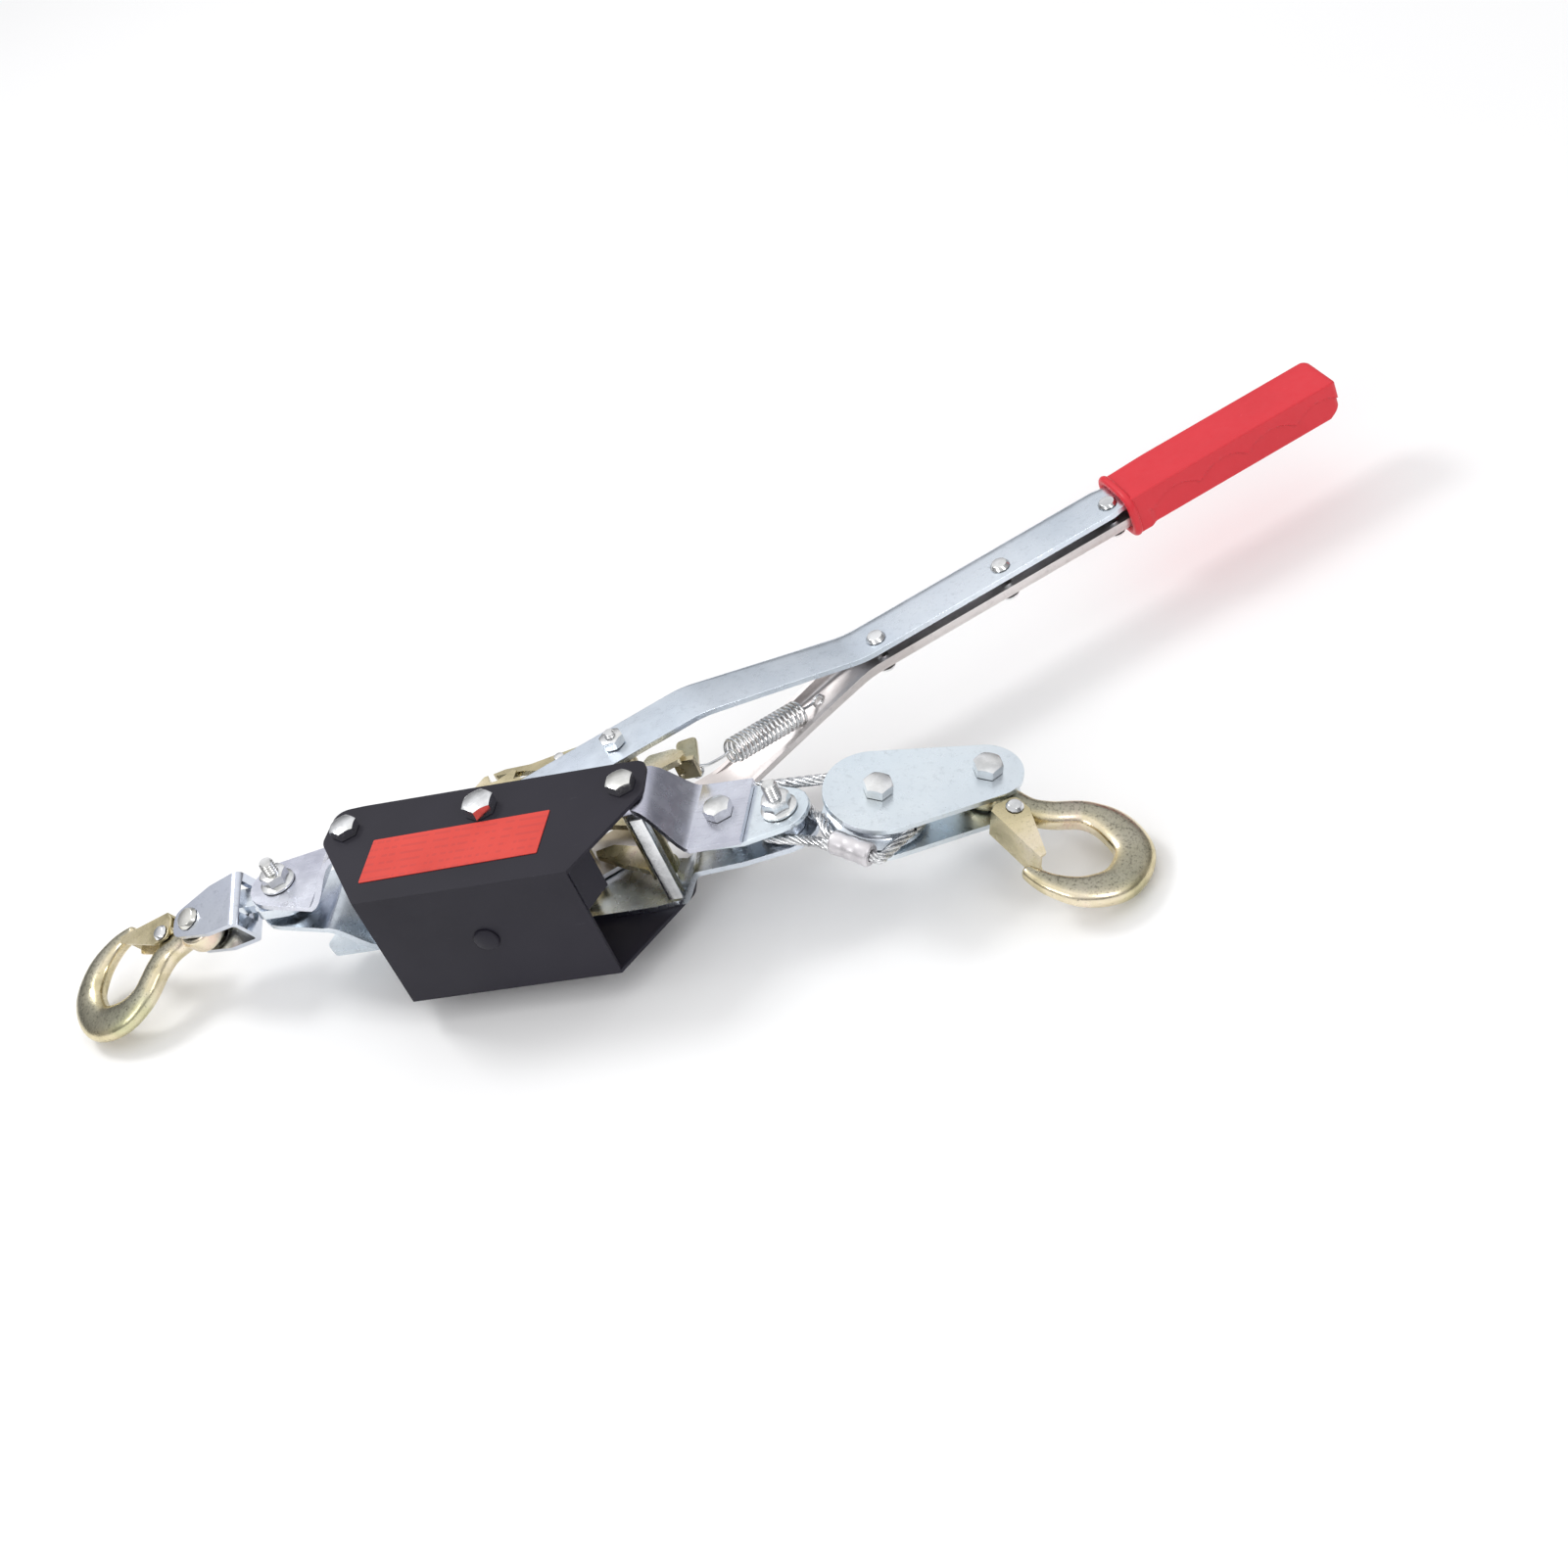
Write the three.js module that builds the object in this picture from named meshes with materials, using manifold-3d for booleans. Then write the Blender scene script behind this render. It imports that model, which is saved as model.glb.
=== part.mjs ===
// Come along winch: a hand ratchet puller with a cable drum between two side plates,
// a forked lever, a sheave block on the doubled cable and a hook at each end.
// +X runs along the pull line to the block, +Y to the lever's side, +Z along the drum axle.
// The shapes are drawn about the drum's middle; the whole group is then lifted so that
// the origin is the centre of the axle bolt's lower end.
import * as THREE from 'three';
import { mergeVertices } from 'three/addons/utils/BufferGeometryUtils.js';
import Module from 'manifold-3d';

const wasm = await Module();
wasm.setup();

// ---- Driving dimensions, in millimetres and degrees ----
const GAP = 0.35;                 // clearance between pieces that touch
const FIT = 0.3;                  // clearance round a pin in its hole

const PLATE = 3;                  // side plate thickness
const PLATE_Z = 30.6;             // inner face of each side plate from the middle
const PLATE_HALF_WIDTH = 17;      // flat of the side plate
const BEND_HALF_WIDTH = 15;       // narrowest place, where the S bend starts
const NECK_HALF_WIDTH = 22.5;     // flat end, past the S bend
const BEND_X = [82, 104];         // start and end of the S bend
const NECK_Z = 6.3;               // inner face of the neck flats
const NECK_X = 147;               // neck bolt on the pull side
const NECK_R = 16;                // rounded neck end
const STRAP_END_X = 131;          // straight end of the upper plate on the pull side
const TAIL_X = -129;              // neck bolt on the anchor side

const COVER = 2;                  // cover sheet
const COVER_Z = 33.95;            // inner face of each cover flange
const COVER_BOLT_X = 76;
const COVER_WEB_Y = -54;          // outer face of the web
const COVER_WEB_HALF = 57.5;
const COVER_TOP_Y = 17.5;

const RATCHET_R = 38;
const RATCHET_ROOT = 31.8;
const RATCHET_TEETH = 15;
const RATCHET_PHASE = 105;        // a tooth's steep face, in degrees from the pull line
const RATCHET_Z = [19.8, 26.2];
const DRUM_R = 15;
const DRUM_FLANGE_R = 31;
const DRUM_HALF = 19.4;
const ROPE_D = 5.5;
const WOUND_R = 26.8;             // outside of the wound cable
const AXLE_R = 5;
const NECK_BOLT_R = 4;
const BLOCK_BOLT_R = 4;
const PAWL_PIN_R = 3;

const LEVER_ANGLE = 33;           // lever from the pull line, at rest
const BLADE = 3;
const BLADE_Z = 27.05;            // inner face of the lever's fork blades
const ARM_HALF_WIDTH = 12.5;
const ARM_TOP_Z = 8.5;            // outer face of the near arm where the arms are riveted
const PAWL_BOLT_R = 73;           // drive pawl bolt from the drum axis
const RIVET_R = [215, 289, 353.5];
const RIVET_V = -4.5;             // rivets sit below the middle of the arms
const GRIP_R = [361, 486.5];
const GRIP_HALF = 11.5;           // half its height
const GRIP_HALF_WIDTH = 15;
const WAVE_PITCH = 29;            // one finger to the next
const PAWL_Z = 20.4;              // inner face of each pawl's side plates
const PAWL_SHEET = 3.4;

const SHEAVE_R = 24.5;
const SHEAVE_GROOVE_R = 19.5;
const BLOCK_GAP = 15;             // between the block's side plates
const BLOCK_PLATE = 3;
const BLOCK_R = 26.6;             // round end of the block plates
const BLOCK_LENGTH = 54.5;        // sheave bolt to hook bolt
const BLOCK_AT = [194.4, 0, -2];    // middle of the sheave; the block droops and turns aside
const BLOCK_X = [0.871, 0.381, -0.309];
const BLOCK_Z = [0.343, -0.022, 0.939];
const BLOCK_HOOK_ANGLE = -60;     // the hook hangs to one side of the block

const CLEVIS_AT = [-152, -1, -2]; // middle of the clevis web
const CLEVIS_X = [-0.9, -0.02, -0.27];
const CLEVIS_Z = [-0.27, -0.28, 0.92];
const CLEVIS_REACH = 34;          // web to pin
const CLEVIS_HALF_GAP = 8;
const TAIL_HOOK_ANGLE = 10;

const HOOK_SCALE = 0.95;
const HOOK_HALF = 6.2;            // half the hook's thickness
const LATCH_PIVOT = [25, -7];     // in the hook's plane, before scaling

// ---- Materials ----
const finish = (color, roughness, metalness) =>
  new THREE.MeshStandardMaterial({ color, roughness, metalness });
const zinc = finish(0xc9d2dc, 0.32, 0.9);
const brightZinc = finish(0xdde2e6, 0.25, 0.95);
const yellowZinc = finish(0xb59a5c, 0.35, 0.9);
const blackPaint = finish(0x35333b, 0.45, 0.1);
const labelRed = finish(0xef5f58, 0.5, 0);
const redPlastic = finish(0xd8323f, 0.35, 0);
const ropeSteel = finish(0xb8bcc0, 0.4, 0.8);
const aluminium = finish(0xc8c8ca, 0.45, 0.8);

// ---- Helpers ----
const rad = THREE.MathUtils.degToRad;
const winch = new THREE.Group();

// A frame of reference from its X and Z directions and an origin.
function frameOf(origin, xDir, zDir) {
  const z = new THREE.Vector3(...zDir).normalize();
  const y = new THREE.Vector3().crossVectors(z, new THREE.Vector3(...xDir)).normalize();
  const x = new THREE.Vector3().crossVectors(y, z);
  return new THREE.Matrix4().makeBasis(x, y, z).setPosition(...origin);
}

// The merged, indexed form that closes a geometry's seams.
function closed(geometry) {
  const plain = new THREE.BufferGeometry();
  plain.setAttribute('position', geometry.getAttribute('position').clone());
  if (geometry.index) plain.setIndex(geometry.index.clone());
  return mergeVertices(plain, 1e-4);
}

function toSolid(geometry) {
  const merged = closed(geometry);
  return new wasm.Manifold(new wasm.Mesh({
    numProp: 3,
    vertProperties: Float32Array.from(merged.getAttribute('position').array),
    triVerts: Uint32Array.from(merged.index.array),
  }));
}

function toGeometry(solid) {
  const mesh = solid.getMesh();
  const geometry = new THREE.BufferGeometry();
  geometry.setAttribute('position', new THREE.BufferAttribute(Float32Array.from(mesh.vertProperties), 3));
  geometry.setIndex(Array.from(mesh.triVerts));
  return geometry;
}

const join = (...geometries) =>
  toGeometry(geometries.map(toSolid).reduce((whole, next) => whole.add(next)));
const cut = (body, ...tools) =>
  toGeometry(tools.map(toSolid).reduce((whole, tool) => whole.subtract(tool), toSolid(body)));
const common = (a, b) => toGeometry(toSolid(a).intersect(toSolid(b)));

function shapeOf(points) {
  return new THREE.Shape(points.map(([x, y]) => new THREE.Vector2(x, y)));
}

// A flat piece: an outline in X and Y, from z0 to z1.
function slab(shape, z0, z1, curveSegments = 12) {
  const options = { depth: z1 - z0, bevelEnabled: false, curveSegments };
  return new THREE.ExtrudeGeometry(shape, options).translate(0, 0, z0);
}

// The same with its edges rounded off inside the outline.
function softSlab(shape, z0, z1, edge, curveSegments = 12, bevelSegments = 2) {
  const options = {
    depth: z1 - z0 - 2 * edge,
    bevelThickness: edge,
    bevelSize: edge,
    bevelOffset: -edge,
    bevelSegments,
    curveSegments,
  };
  return new THREE.ExtrudeGeometry(shape, options).translate(0, 0, z0 + edge);
}

// A profile in X and Z, extruded over a width in Y.
function stripAcross(points, halfWidth) {
  const shape = shapeOf(points);
  const options = { depth: 2 * halfWidth, bevelEnabled: false, curveSegments: 8 };
  return new THREE.ExtrudeGeometry(shape, options).rotateX(Math.PI / 2).translate(0, halfWidth, 0);
}

// A round post along Z.
function post(r, z0, z1, x = 0, y = 0, sides = 18) {
  return new THREE.CylinderGeometry(r, r, z1 - z0, sides)
    .rotateX(Math.PI / 2).translate(x, y, (z0 + z1) / 2);
}

// A tube along Z, from its bore and outer radius.
function tube(bore, r, z0, z1, x = 0, y = 0, sides = 18) {
  const profile = [[bore, z0], [r, z0], [r, z1], [bore, z1], [bore, z0]];
  return new THREE.LatheGeometry(profile.map(([a, b]) => new THREE.Vector2(a, b)), sides)
    .rotateX(Math.PI / 2).translate(x, y, 0);
}

// A hexagonal prism with chamfered corners on the faces that ask for it.
function hexPrism(acrossFlats, z0, z1, x = 0, y = 0, chamferLow = false, chamferHigh = true) {
  const r = acrossFlats / Math.sqrt(3);
  const prism = post(r, z0, z1, 0, 0, 6);
  const lip = (r - acrossFlats / 2) * 0.75;
  const low = chamferLow ? lip : 0;
  const high = chamferHigh ? lip : 0;
  const profile = [
    [0, z0], [r - low * 1.2, z0], [r + 0.2, z0 + low * 0.6 + 0.01],
    [r + 0.2, z1 - high * 0.6 - 0.01], [r - high * 1.2, z1], [0, z1],
  ];
  const turned = new THREE.LatheGeometry(profile.map(([a, b]) => new THREE.Vector2(a, b)), 12);
  return common(prism, turned.rotateX(Math.PI / 2)).translate(x, y, 0);
}

// A hex bolt with its head at the high end and its thread reaching down to z0.
function hexBolt(r, acrossFlats, headHeight, z0, z1, x, y) {
  return join(post(r, z0, z1 + 0.5, x, y), hexPrism(acrossFlats, z1, z1 + headHeight, x, y));
}

function hexNut(bore, acrossFlats, z0, z1, x, y) {
  return cut(hexPrism(acrossFlats, z0, z1, x, y, true, true), post(bore, z0 - 1, z1 + 1, x, y));
}

function flip(geometry) {
  return geometry.clone().rotateX(Math.PI);
}

function add(name, geometry, material, matrix = null, group = winch) {
  const mesh = new THREE.Mesh(closed(geometry), material);
  mesh.name = name;
  if (matrix) mesh.applyMatrix4(matrix);
  group.add(mesh);
  return mesh;
}

// Rounds a polygon's corners with arcs of the given radii.
function rounded(points, radii) {
  const shape = new THREE.Shape();
  const n = points.length;
  points.forEach(([x, y], i) => {
    const corner = new THREE.Vector2(x, y);
    const before = new THREE.Vector2(...points[(i + n - 1) % n]).sub(corner);
    const after = new THREE.Vector2(...points[(i + 1) % n]).sub(corner);
    const r = Array.isArray(radii) ? radii[i] : radii;
    const half = Math.acos(before.clone().normalize().dot(after.clone().normalize())) / 2;
    const run = Math.min(r / Math.tan(half), before.length() * 0.49, after.length() * 0.49);
    const a = corner.clone().add(before.setLength(run));
    const b = corner.clone().add(after.setLength(run));
    if (i === 0) shape.moveTo(a.x, a.y);
    else shape.lineTo(a.x, a.y);
    if (r > 0) shape.quadraticCurveTo(corner.x, corner.y, b.x, b.y);
  });
  shape.closePath();
  return shape;
}

// A disc of radius r joined to a smaller one at distance length along X by tangents.
function teardrop(r, small, length) {
  const lean = Math.acos((r - small) / length);
  const shape = new THREE.Shape();
  shape.absarc(0, 0, r, lean, 2 * Math.PI - lean, false);
  shape.absarc(length, 0, small, -lean, lean, false);
  shape.closePath();
  return shape;
}

function hole(r, x, y) {
  const path = new THREE.Path();
  path.absarc(x, y, r, 0, 2 * Math.PI, true);
  return path;
}

// ---- Side plates ----
// Half of the plan outline towards one end: flat, waist at the S bend, then the neck.
function plateOutline(pullEnd, tailEnd) {
  const w = PLATE_HALF_WIDTH;
  const b = BEND_HALF_WIDTH;
  const n = NECK_HALF_WIDTH;
  const [x0, x1] = BEND_X;
  const side = [[0, w], [x0 - 12, w], [x0, b], [x1, n], ...pullEnd];
  const tail = [[-x1, n], [-x0, b], [-x0 + 12, w], [0, w]];
  const half = [...side, ...pullEnd.slice().reverse().map(([x, y]) => [x, -y]),
    [x1, -n], [x0, -b], [x0 - 12, -w], [0, -w],
    [-x0 + 12, -w], [-x0, -b], [-x1, -n],
    ...tailEnd.slice().reverse().map(([x, y]) => [x, -y]), ...tailEnd, ...tail];
  return half.filter(([x, y], i) => i === 0 || x !== half[i - 1][0] || y !== half[i - 1][1]);
}

// Points round a neck end of radius r about (cx, 0), from its upper to its lower tangent.
function roundEnd(cx, r, steps = 5) {
  const points = [];
  for (let i = 0; i < steps; i += 1) {
    const a = rad(78 - (78 * i) / (steps - 1));
    points.push([cx + Math.sign(cx) * r * Math.cos(a), r * Math.sin(a)]);
  }
  return points;
}

// The bent strip's side view: straight, an S bend at each end, and a flat neck.
function bentProfile(pullX, tailX) {
  const [x0, x1] = BEND_X;
  const drop = PLATE_Z - NECK_Z;
  const steps = 8;
  const inner = [];
  for (let i = 0; i <= steps; i += 1) {
    const t = i / steps;
    const ease = t * t * (3 - 2 * t);
    inner.push([x0 + (x1 - x0) * t, PLATE_Z - drop * ease]);
  }
  const right = [...inner, [pullX, NECK_Z]];
  const left = [[tailX, NECK_Z], ...inner.slice().reverse().map(([x, z]) => [-x, z])];
  const line = [...left, ...right];
  const outer = line.map(([x, z], i) => {
    const a = line[Math.max(i - 1, 0)];
    const b = line[Math.min(i + 1, line.length - 1)];
    const length = Math.hypot(b[0] - a[0], b[1] - a[1]);
    return [x - ((b[1] - a[1]) / length) * PLATE, z + ((b[0] - a[0]) / length) * PLATE];
  });
  return [...line, ...outer.reverse()];
}

function sidePlate(pullEnd, pullX) {
  const tailEnd = roundEnd(TAIL_X, NECK_R).map(([x, y]) => [x, y]);
  const profile = stripAcross(bentProfile(pullX, TAIL_X - NECK_R - 1), 40);
  const plan = slab(shapeOf(plateOutline(pullEnd, tailEnd.reverse())), 0, 60);
  const holes = [
    post(AXLE_R + FIT, 0, 60), post(4 + FIT, 0, 60, COVER_BOLT_X), post(4 + FIT, 0, 60, -COVER_BOLT_X),
    post(NECK_BOLT_R + FIT, 0, 60, TAIL_X), post(4 + FIT, 0, 60, STRAP_END_X - 14),
  ];
  if (pullX > NECK_X) holes.push(post(NECK_BOLT_R + FIT, 0, 60, NECK_X));
  return cut(common(profile, plan), ...holes);
}

function sidePlates() {
  const strapEnd = [[STRAP_END_X, NECK_HALF_WIDTH - 1]];
  const upper = sidePlate(strapEnd, STRAP_END_X + 0.01);
  add('side_plate_upper', upper, zinc);
  const longEnd = [[STRAP_END_X - 4, NECK_HALF_WIDTH - 2], ...roundEnd(NECK_X, NECK_R)];
  add('side_plate_lower', flip(sidePlate(longEnd, NECK_X + NECK_R + 1)), zinc);
}

// The plate that carries the upper side on from the strap to the neck bolt.
function neckLink() {
  const end = roundEnd(NECK_X, NECK_R - 1);
  const points = [[BEND_X[1] + 4, 19], [STRAP_END_X, 20], ...end,
    ...end.slice(0, -1).reverse().map(([x, y]) => [x, -y]), [STRAP_END_X, -20], [BEND_X[1] + 4, -19]];
  const top = NECK_Z - GAP;
  const link = cut(slab(shapeOf(points), top - PLATE, top),
    post(NECK_BOLT_R + FIT, 0, 20, NECK_X), post(4 + FIT, 0, 20, STRAP_END_X - 14));
  add('neck_link_plate', link, zinc);
}

// ---- Cover ----
function coverFlange() {
  const h = COVER_WEB_HALF;
  const outline = rounded([
    [-h, COVER_WEB_Y], [h, COVER_WEB_Y], [88, -6], [86, COVER_TOP_Y], [70, COVER_TOP_Y],
    [-70, COVER_TOP_Y], [-86, COVER_TOP_Y - 1], [-88, -6],
  ], [0, 0, 10, 12, 4, 4, 12, 10]);
  return slab(outline, COVER_Z, COVER_Z + COVER, 6);
}

function cover() {
  const flange = coverFlange();
  const z = COVER_Z + COVER;
  const web = new THREE.BoxGeometry(2 * COVER_WEB_HALF, COVER, 2 * z)
    .translate(0, COVER_WEB_Y + COVER / 2, 0);
  // A stiffening tab is folded in from the slanted edge of the upper flange.
  const along = new THREE.Vector2(65 - COVER_WEB_HALF - 0.6, -37 - COVER_WEB_Y - 1.5);
  const tab = new THREE.BoxGeometry(along.length(), COVER, 28)
    .rotateZ(along.angle())
    .translate(COVER_WEB_HALF + along.x / 2 - 0.6, COVER_WEB_Y + along.y / 2 + 1.6, z - 14);
  const body = cut(join(flange, flip(flange).rotateZ(Math.PI), web, tab),
    post(AXLE_R + FIT, -60, 60),
    post(4 + FIT, -60, 60, COVER_BOLT_X),
    post(4 + FIT, -60, 60, -COVER_BOLT_X),
    post(5, -4, 4).rotateX(Math.PI / 2).translate(0, COVER_WEB_Y, 0));
  add('cover', body, blackPaint);
  // A dished rivet closes the hole in the web.
  const rivetProfile = [[0, -3.2], [6.5, -3.2], [6.5, -2.5], [4.6, -2.4], [4.6, 1.2], [6.8, 1.3],
    [6.2, 2.6], [4, 3.4], [0, 3.6]];
  const rivet = new THREE.LatheGeometry(rivetProfile.map(([a, b]) => new THREE.Vector2(a, b)), 16);
  add('cover_rivet', rivet.translate(0, 1, 0).rotateZ(Math.PI)
    .translate(0, COVER_WEB_Y + COVER / 2 + 1, 0), blackPaint);
  const label = rounded([[-57.6, -39.8], [38.8, -38], [39.4, -8.8], [-57.2, -10.2]], 0.6);
  add('label', slab(label, z + 0.05, z + 0.45, 2), labelRed);
}

// ---- Bolts through the frame ----
function throughBolt(prefix, r, acrossFlats, x, top, nutHeight, spare, packing = 0) {
  const under = -top - nutHeight - packing;
  add(`${prefix}_bolt`, hexBolt(r, acrossFlats, r * 1.3, under - spare, top + GAP, x, 0), brightZinc);
  add(`${prefix}_nut`, hexNut(r + GAP, acrossFlats, under - GAP, -top - GAP - packing, x, 0), brightZinc);
}

// A flat tab under the cover, held by the tail bolt and standing out past the S bend.
function tailTab(top) {
  const tab = rounded([[-68, -9.5], [-68, 9.5], [-118, 9.5], [-122, -3], [-116, -9.5]], [5, 5, 4, 5, 4]);
  add('tail_tab', cut(slab(tab, -top - 3, -top, 5), post(4 + FIT, -60, 60, -COVER_BOLT_X)), zinc);
}

function frameFasteners() {
  const top = COVER_Z + COVER;
  throughBolt('axle', AXLE_R, 15, 0, top, 9.5, 3);
  throughBolt('cover_tail', 4, 13, -COVER_BOLT_X, top, 6.5, 2, 3 + GAP);
  tailTab(top + GAP);
  throughBolt('pawl_pivot', 4, 13, COVER_BOLT_X, top, 6.5, 2);
  add('tail_spacer', tube(4 + FIT, 7, -PLATE_Z + GAP, PLATE_Z - GAP, -COVER_BOLT_X), zinc);
  // A folded bar holds the side plates apart along their front edges.
  const z = PLATE_Z - 3;
  const bar = rounded([[78, -16.6], [86.5, -16.6], [86.5, -11.6], [78, -11.6]], [1.8, 1.8, 0.4, 0.4]);
  add('tie_plate', slab(bar, -z, z, 4), zinc);
}

// A hex nut on its own round flange, seated at z.
function flangeNut(z) {
  const bore = NECK_BOLT_R + GAP;
  return cut(join(post(9.4, z, z + 1.6), hexPrism(13, z + 1, z + 8, 0, 0, false, true)), post(bore, z - 1, z + 9));
}

function neckFasteners() {
  // Pull side: the strap bolt and the cable anchor bolt.
  const strapTop = NECK_Z + PLATE + GAP;
  const strapX = STRAP_END_X - 14;
  add('strap_bolt', hexBolt(4, 13, 5.5, -24, strapTop, strapX, 0), brightZinc);
  add('strap_nut', hexNut(4 + GAP, 13, -NECK_Z - PLATE - GAP - 6.5, -NECK_Z - PLATE - GAP, strapX, 0), brightZinc);
  const low = -NECK_Z - PLATE - GAP;
  const anchorBolt = flip(hexBolt(NECK_BOLT_R, 13, 5.5, -NECK_Z - 17, -low, 0, 0)).translate(NECK_X, 0, 0);
  add('anchor_bolt', anchorBolt, brightZinc);
  add('anchor_nut', flangeNut(NECK_Z).translate(NECK_X, 0, 0), brightZinc);
  add('anchor_thimble', tube(NECK_BOLT_R + FIT, 9.5, -NECK_Z + GAP, NECK_Z - PLATE - 2 * GAP, NECK_X), zinc);
  // Anchor side: the bolt that carries the tail link.
  const tailTop = NECK_Z + PLATE;
  const tailBolt = flip(hexBolt(NECK_BOLT_R, 13, 5.5, -tailTop - 16, tailTop + GAP, 0, 0)).translate(TAIL_X, 0, 0);
  add('tail_bolt', tailBolt, brightZinc);
  add('tail_nut', flangeNut(tailTop + GAP).translate(TAIL_X, 0, 0), brightZinc);
}

// ---- Drum, ratchet wheels and wound cable ----
function drum() {
  const profile = [
    [AXLE_R + FIT, -DRUM_HALF], [DRUM_FLANGE_R, -DRUM_HALF], [DRUM_FLANGE_R, -DRUM_HALF + 2],
    [DRUM_R, -DRUM_HALF + 2], [DRUM_R, DRUM_HALF - 2], [DRUM_FLANGE_R, DRUM_HALF - 2],
    [DRUM_FLANGE_R, DRUM_HALF], [AXLE_R + FIT, DRUM_HALF], [AXLE_R + FIT, -DRUM_HALF],
  ];
  const body = new THREE.LatheGeometry(profile.map(([a, b]) => new THREE.Vector2(a, b)), 28);
  add('cable_drum', body.rotateX(Math.PI / 2), zinc);
  // Outer layer of turns, side by side.
  const half = DRUM_HALF - 2 - GAP;
  const turns = 6;
  const pitch = (2 * half) / turns;
  const bumps = [[DRUM_R + GAP, -half]];
  for (let i = 0; i < turns; i += 1) {
    for (let j = 0; j <= 2; j += 1) {
      const t = -1 + j;
      const lift = Math.sqrt(Math.max(0, 1 - 0.8 * t * t)) - 1;
      bumps.push([WOUND_R + lift * (pitch / 2), -half + pitch * (i + (t + 1) / 2)]);
    }
  }
  bumps.push([DRUM_R + GAP, half], [DRUM_R + GAP, -half]);
  const distinct = bumps.filter(([, z], i) => i === 0 || i > bumps.length - 3 || z !== bumps[i - 1][1]
    || bumps[i][0] !== bumps[i - 1][0]);
  const coil = new THREE.LatheGeometry(distinct.map(([a, b]) => new THREE.Vector2(a, b)), 28);
  add('wound_cable', coil.rotateX(Math.PI / 2), ropeSteel);
}

function ratchetWheels() {
  const points = [];
  const step = (2 * Math.PI) / RATCHET_TEETH;
  for (let i = 0; i < RATCHET_TEETH; i += 1) {
    const a = i * step + rad(RATCHET_PHASE);
    [[0, RATCHET_R], [0.14, RATCHET_R], [0.68, RATCHET_ROOT], [0.94, RATCHET_ROOT]].forEach(([t, r]) => {
      points.push([r * Math.cos(a + step * t), r * Math.sin(a + step * t)]);
    });
  }
  const shape = shapeOf(points);
  shape.holes.push(hole(AXLE_R + FIT, 0, 0));
  const wheel = slab(shape, RATCHET_Z[0], RATCHET_Z[1]);
  add('ratchet_wheel_upper', wheel, yellowZinc);
  add('ratchet_wheel_lower', wheel.clone().translate(0, 0, -RATCHET_Z[0] - RATCHET_Z[1]), yellowZinc);
}


// ---- Lever ----
// Lever pieces are drawn with the lever along X, then turned to its rest angle.
const leverTurn = new THREE.Matrix4().makeRotationZ(rad(LEVER_ANGLE));

// Height of the near arm's outer face: the fork blade, the splay, then the riveted stretch.
function armHeight(x, low, high) {
  const t = Math.min(Math.max((x - 118) / (204 - 118), 0), 1);
  return high + (low - high) * t;
}

function leverArm(flangeDepth, lowZ) {
  const high = BLADE_Z + BLADE;
  const stations = [-16, 118, 204, 480];
  const top = stations.map((x) => [x, armHeight(x, lowZ, high)]);
  const web = top.slice().reverse().map(([x, z]) => [x, z - BLADE]);
  const strip = stripAcross([...top, ...web], 30);
  const w = ARM_HALF_WIDTH;
  const plan = rounded([[-15, -14], [112, -14], [170, -w], [478, -w], [478, w], [170, w], [112, 14], [-15, 14]],
    [14, 20, 20, 1, 1, 20, 20, 14]);
  const blade = common(strip, slab(plan, -60, 60));
  // Side flanges grow from the end of the flat blade and run to the lever's end.
  const flangeSide = [[112, high - 0.2], [118, high], [204, lowZ], [478, lowZ],
    [478, lowZ - flangeDepth], [208, lowZ - flangeDepth], [124, high - BLADE - 1], [112, high - BLADE]];
  const flange = stripAcross(flangeSide, 1.25);
  const lowFlange = flange.clone().translate(0, -w + 1.25, 0);
  const highFlange = flange.clone().translate(0, w - 1.25, 0);
  const holes = [post(AXLE_R + FIT, 0, 60), post(PAWL_PIN_R + FIT, 0, 60, PAWL_BOLT_R)];
  RIVET_R.forEach((r) => holes.push(post(3 + FIT, -20, 60, r, RIVET_V)));
  return cut(join(blade, lowFlange, highFlange), ...holes);
}

function lever() {
  add('lever_arm_near', leverArm(5.5, ARM_TOP_Z), zinc, leverTurn);
  const farHoles = post(3, -60, 60, 177, 2);
  const far = cut(leverArm(2 * ARM_TOP_Z - 5.5 - GAP, ARM_TOP_Z), farHoles);
  const mirrored = toGeometry(toSolid(far).mirror([0, 0, 1]));
  add('lever_arm_far', mirrored, zinc, leverTurn);
  RIVET_R.slice(0, 2).forEach((r, i) => {
    const z = ARM_TOP_Z + GAP;
    const profile = [[0, -z - 2.6], [4, -z - 2.2], [5.4, -z], [3, -z], [3, z], [5.4, z], [4, z + 2.2], [0, z + 2.6]];
    const rivet = new THREE.LatheGeometry(profile.map(([a, b]) => new THREE.Vector2(a, b)), 12);
    add(`lever_rivet_${i + 1}`, rivet.rotateX(Math.PI / 2).translate(r, RIVET_V, 0), brightZinc, leverTurn);
  });
  const z = ARM_TOP_Z + GAP;
  const last = [[0, -z - 2], [4, -z - 1.8], [5.2, -z], [3, -z], [3, z], [5.2, z], [4, z + 1.8], [0, z + 2]];
  const rivet = new THREE.LatheGeometry(last.map(([a, b]) => new THREE.Vector2(a, b)), 12);
  add('lever_rivet_3', rivet.rotateX(Math.PI / 2).translate(RIVET_R[2], RIVET_V, 0), brightZinc, leverTurn);
}

// Height of the finger wave on the grip's front: round crests and sharp troughs.
function fingerWave(x) {
  const swing = Math.abs(Math.cos((Math.PI * (x - GRIP_R[0] - 26)) / WAVE_PITCH));
  return -2 + 6.6 * swing ** 0.85;
}

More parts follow.
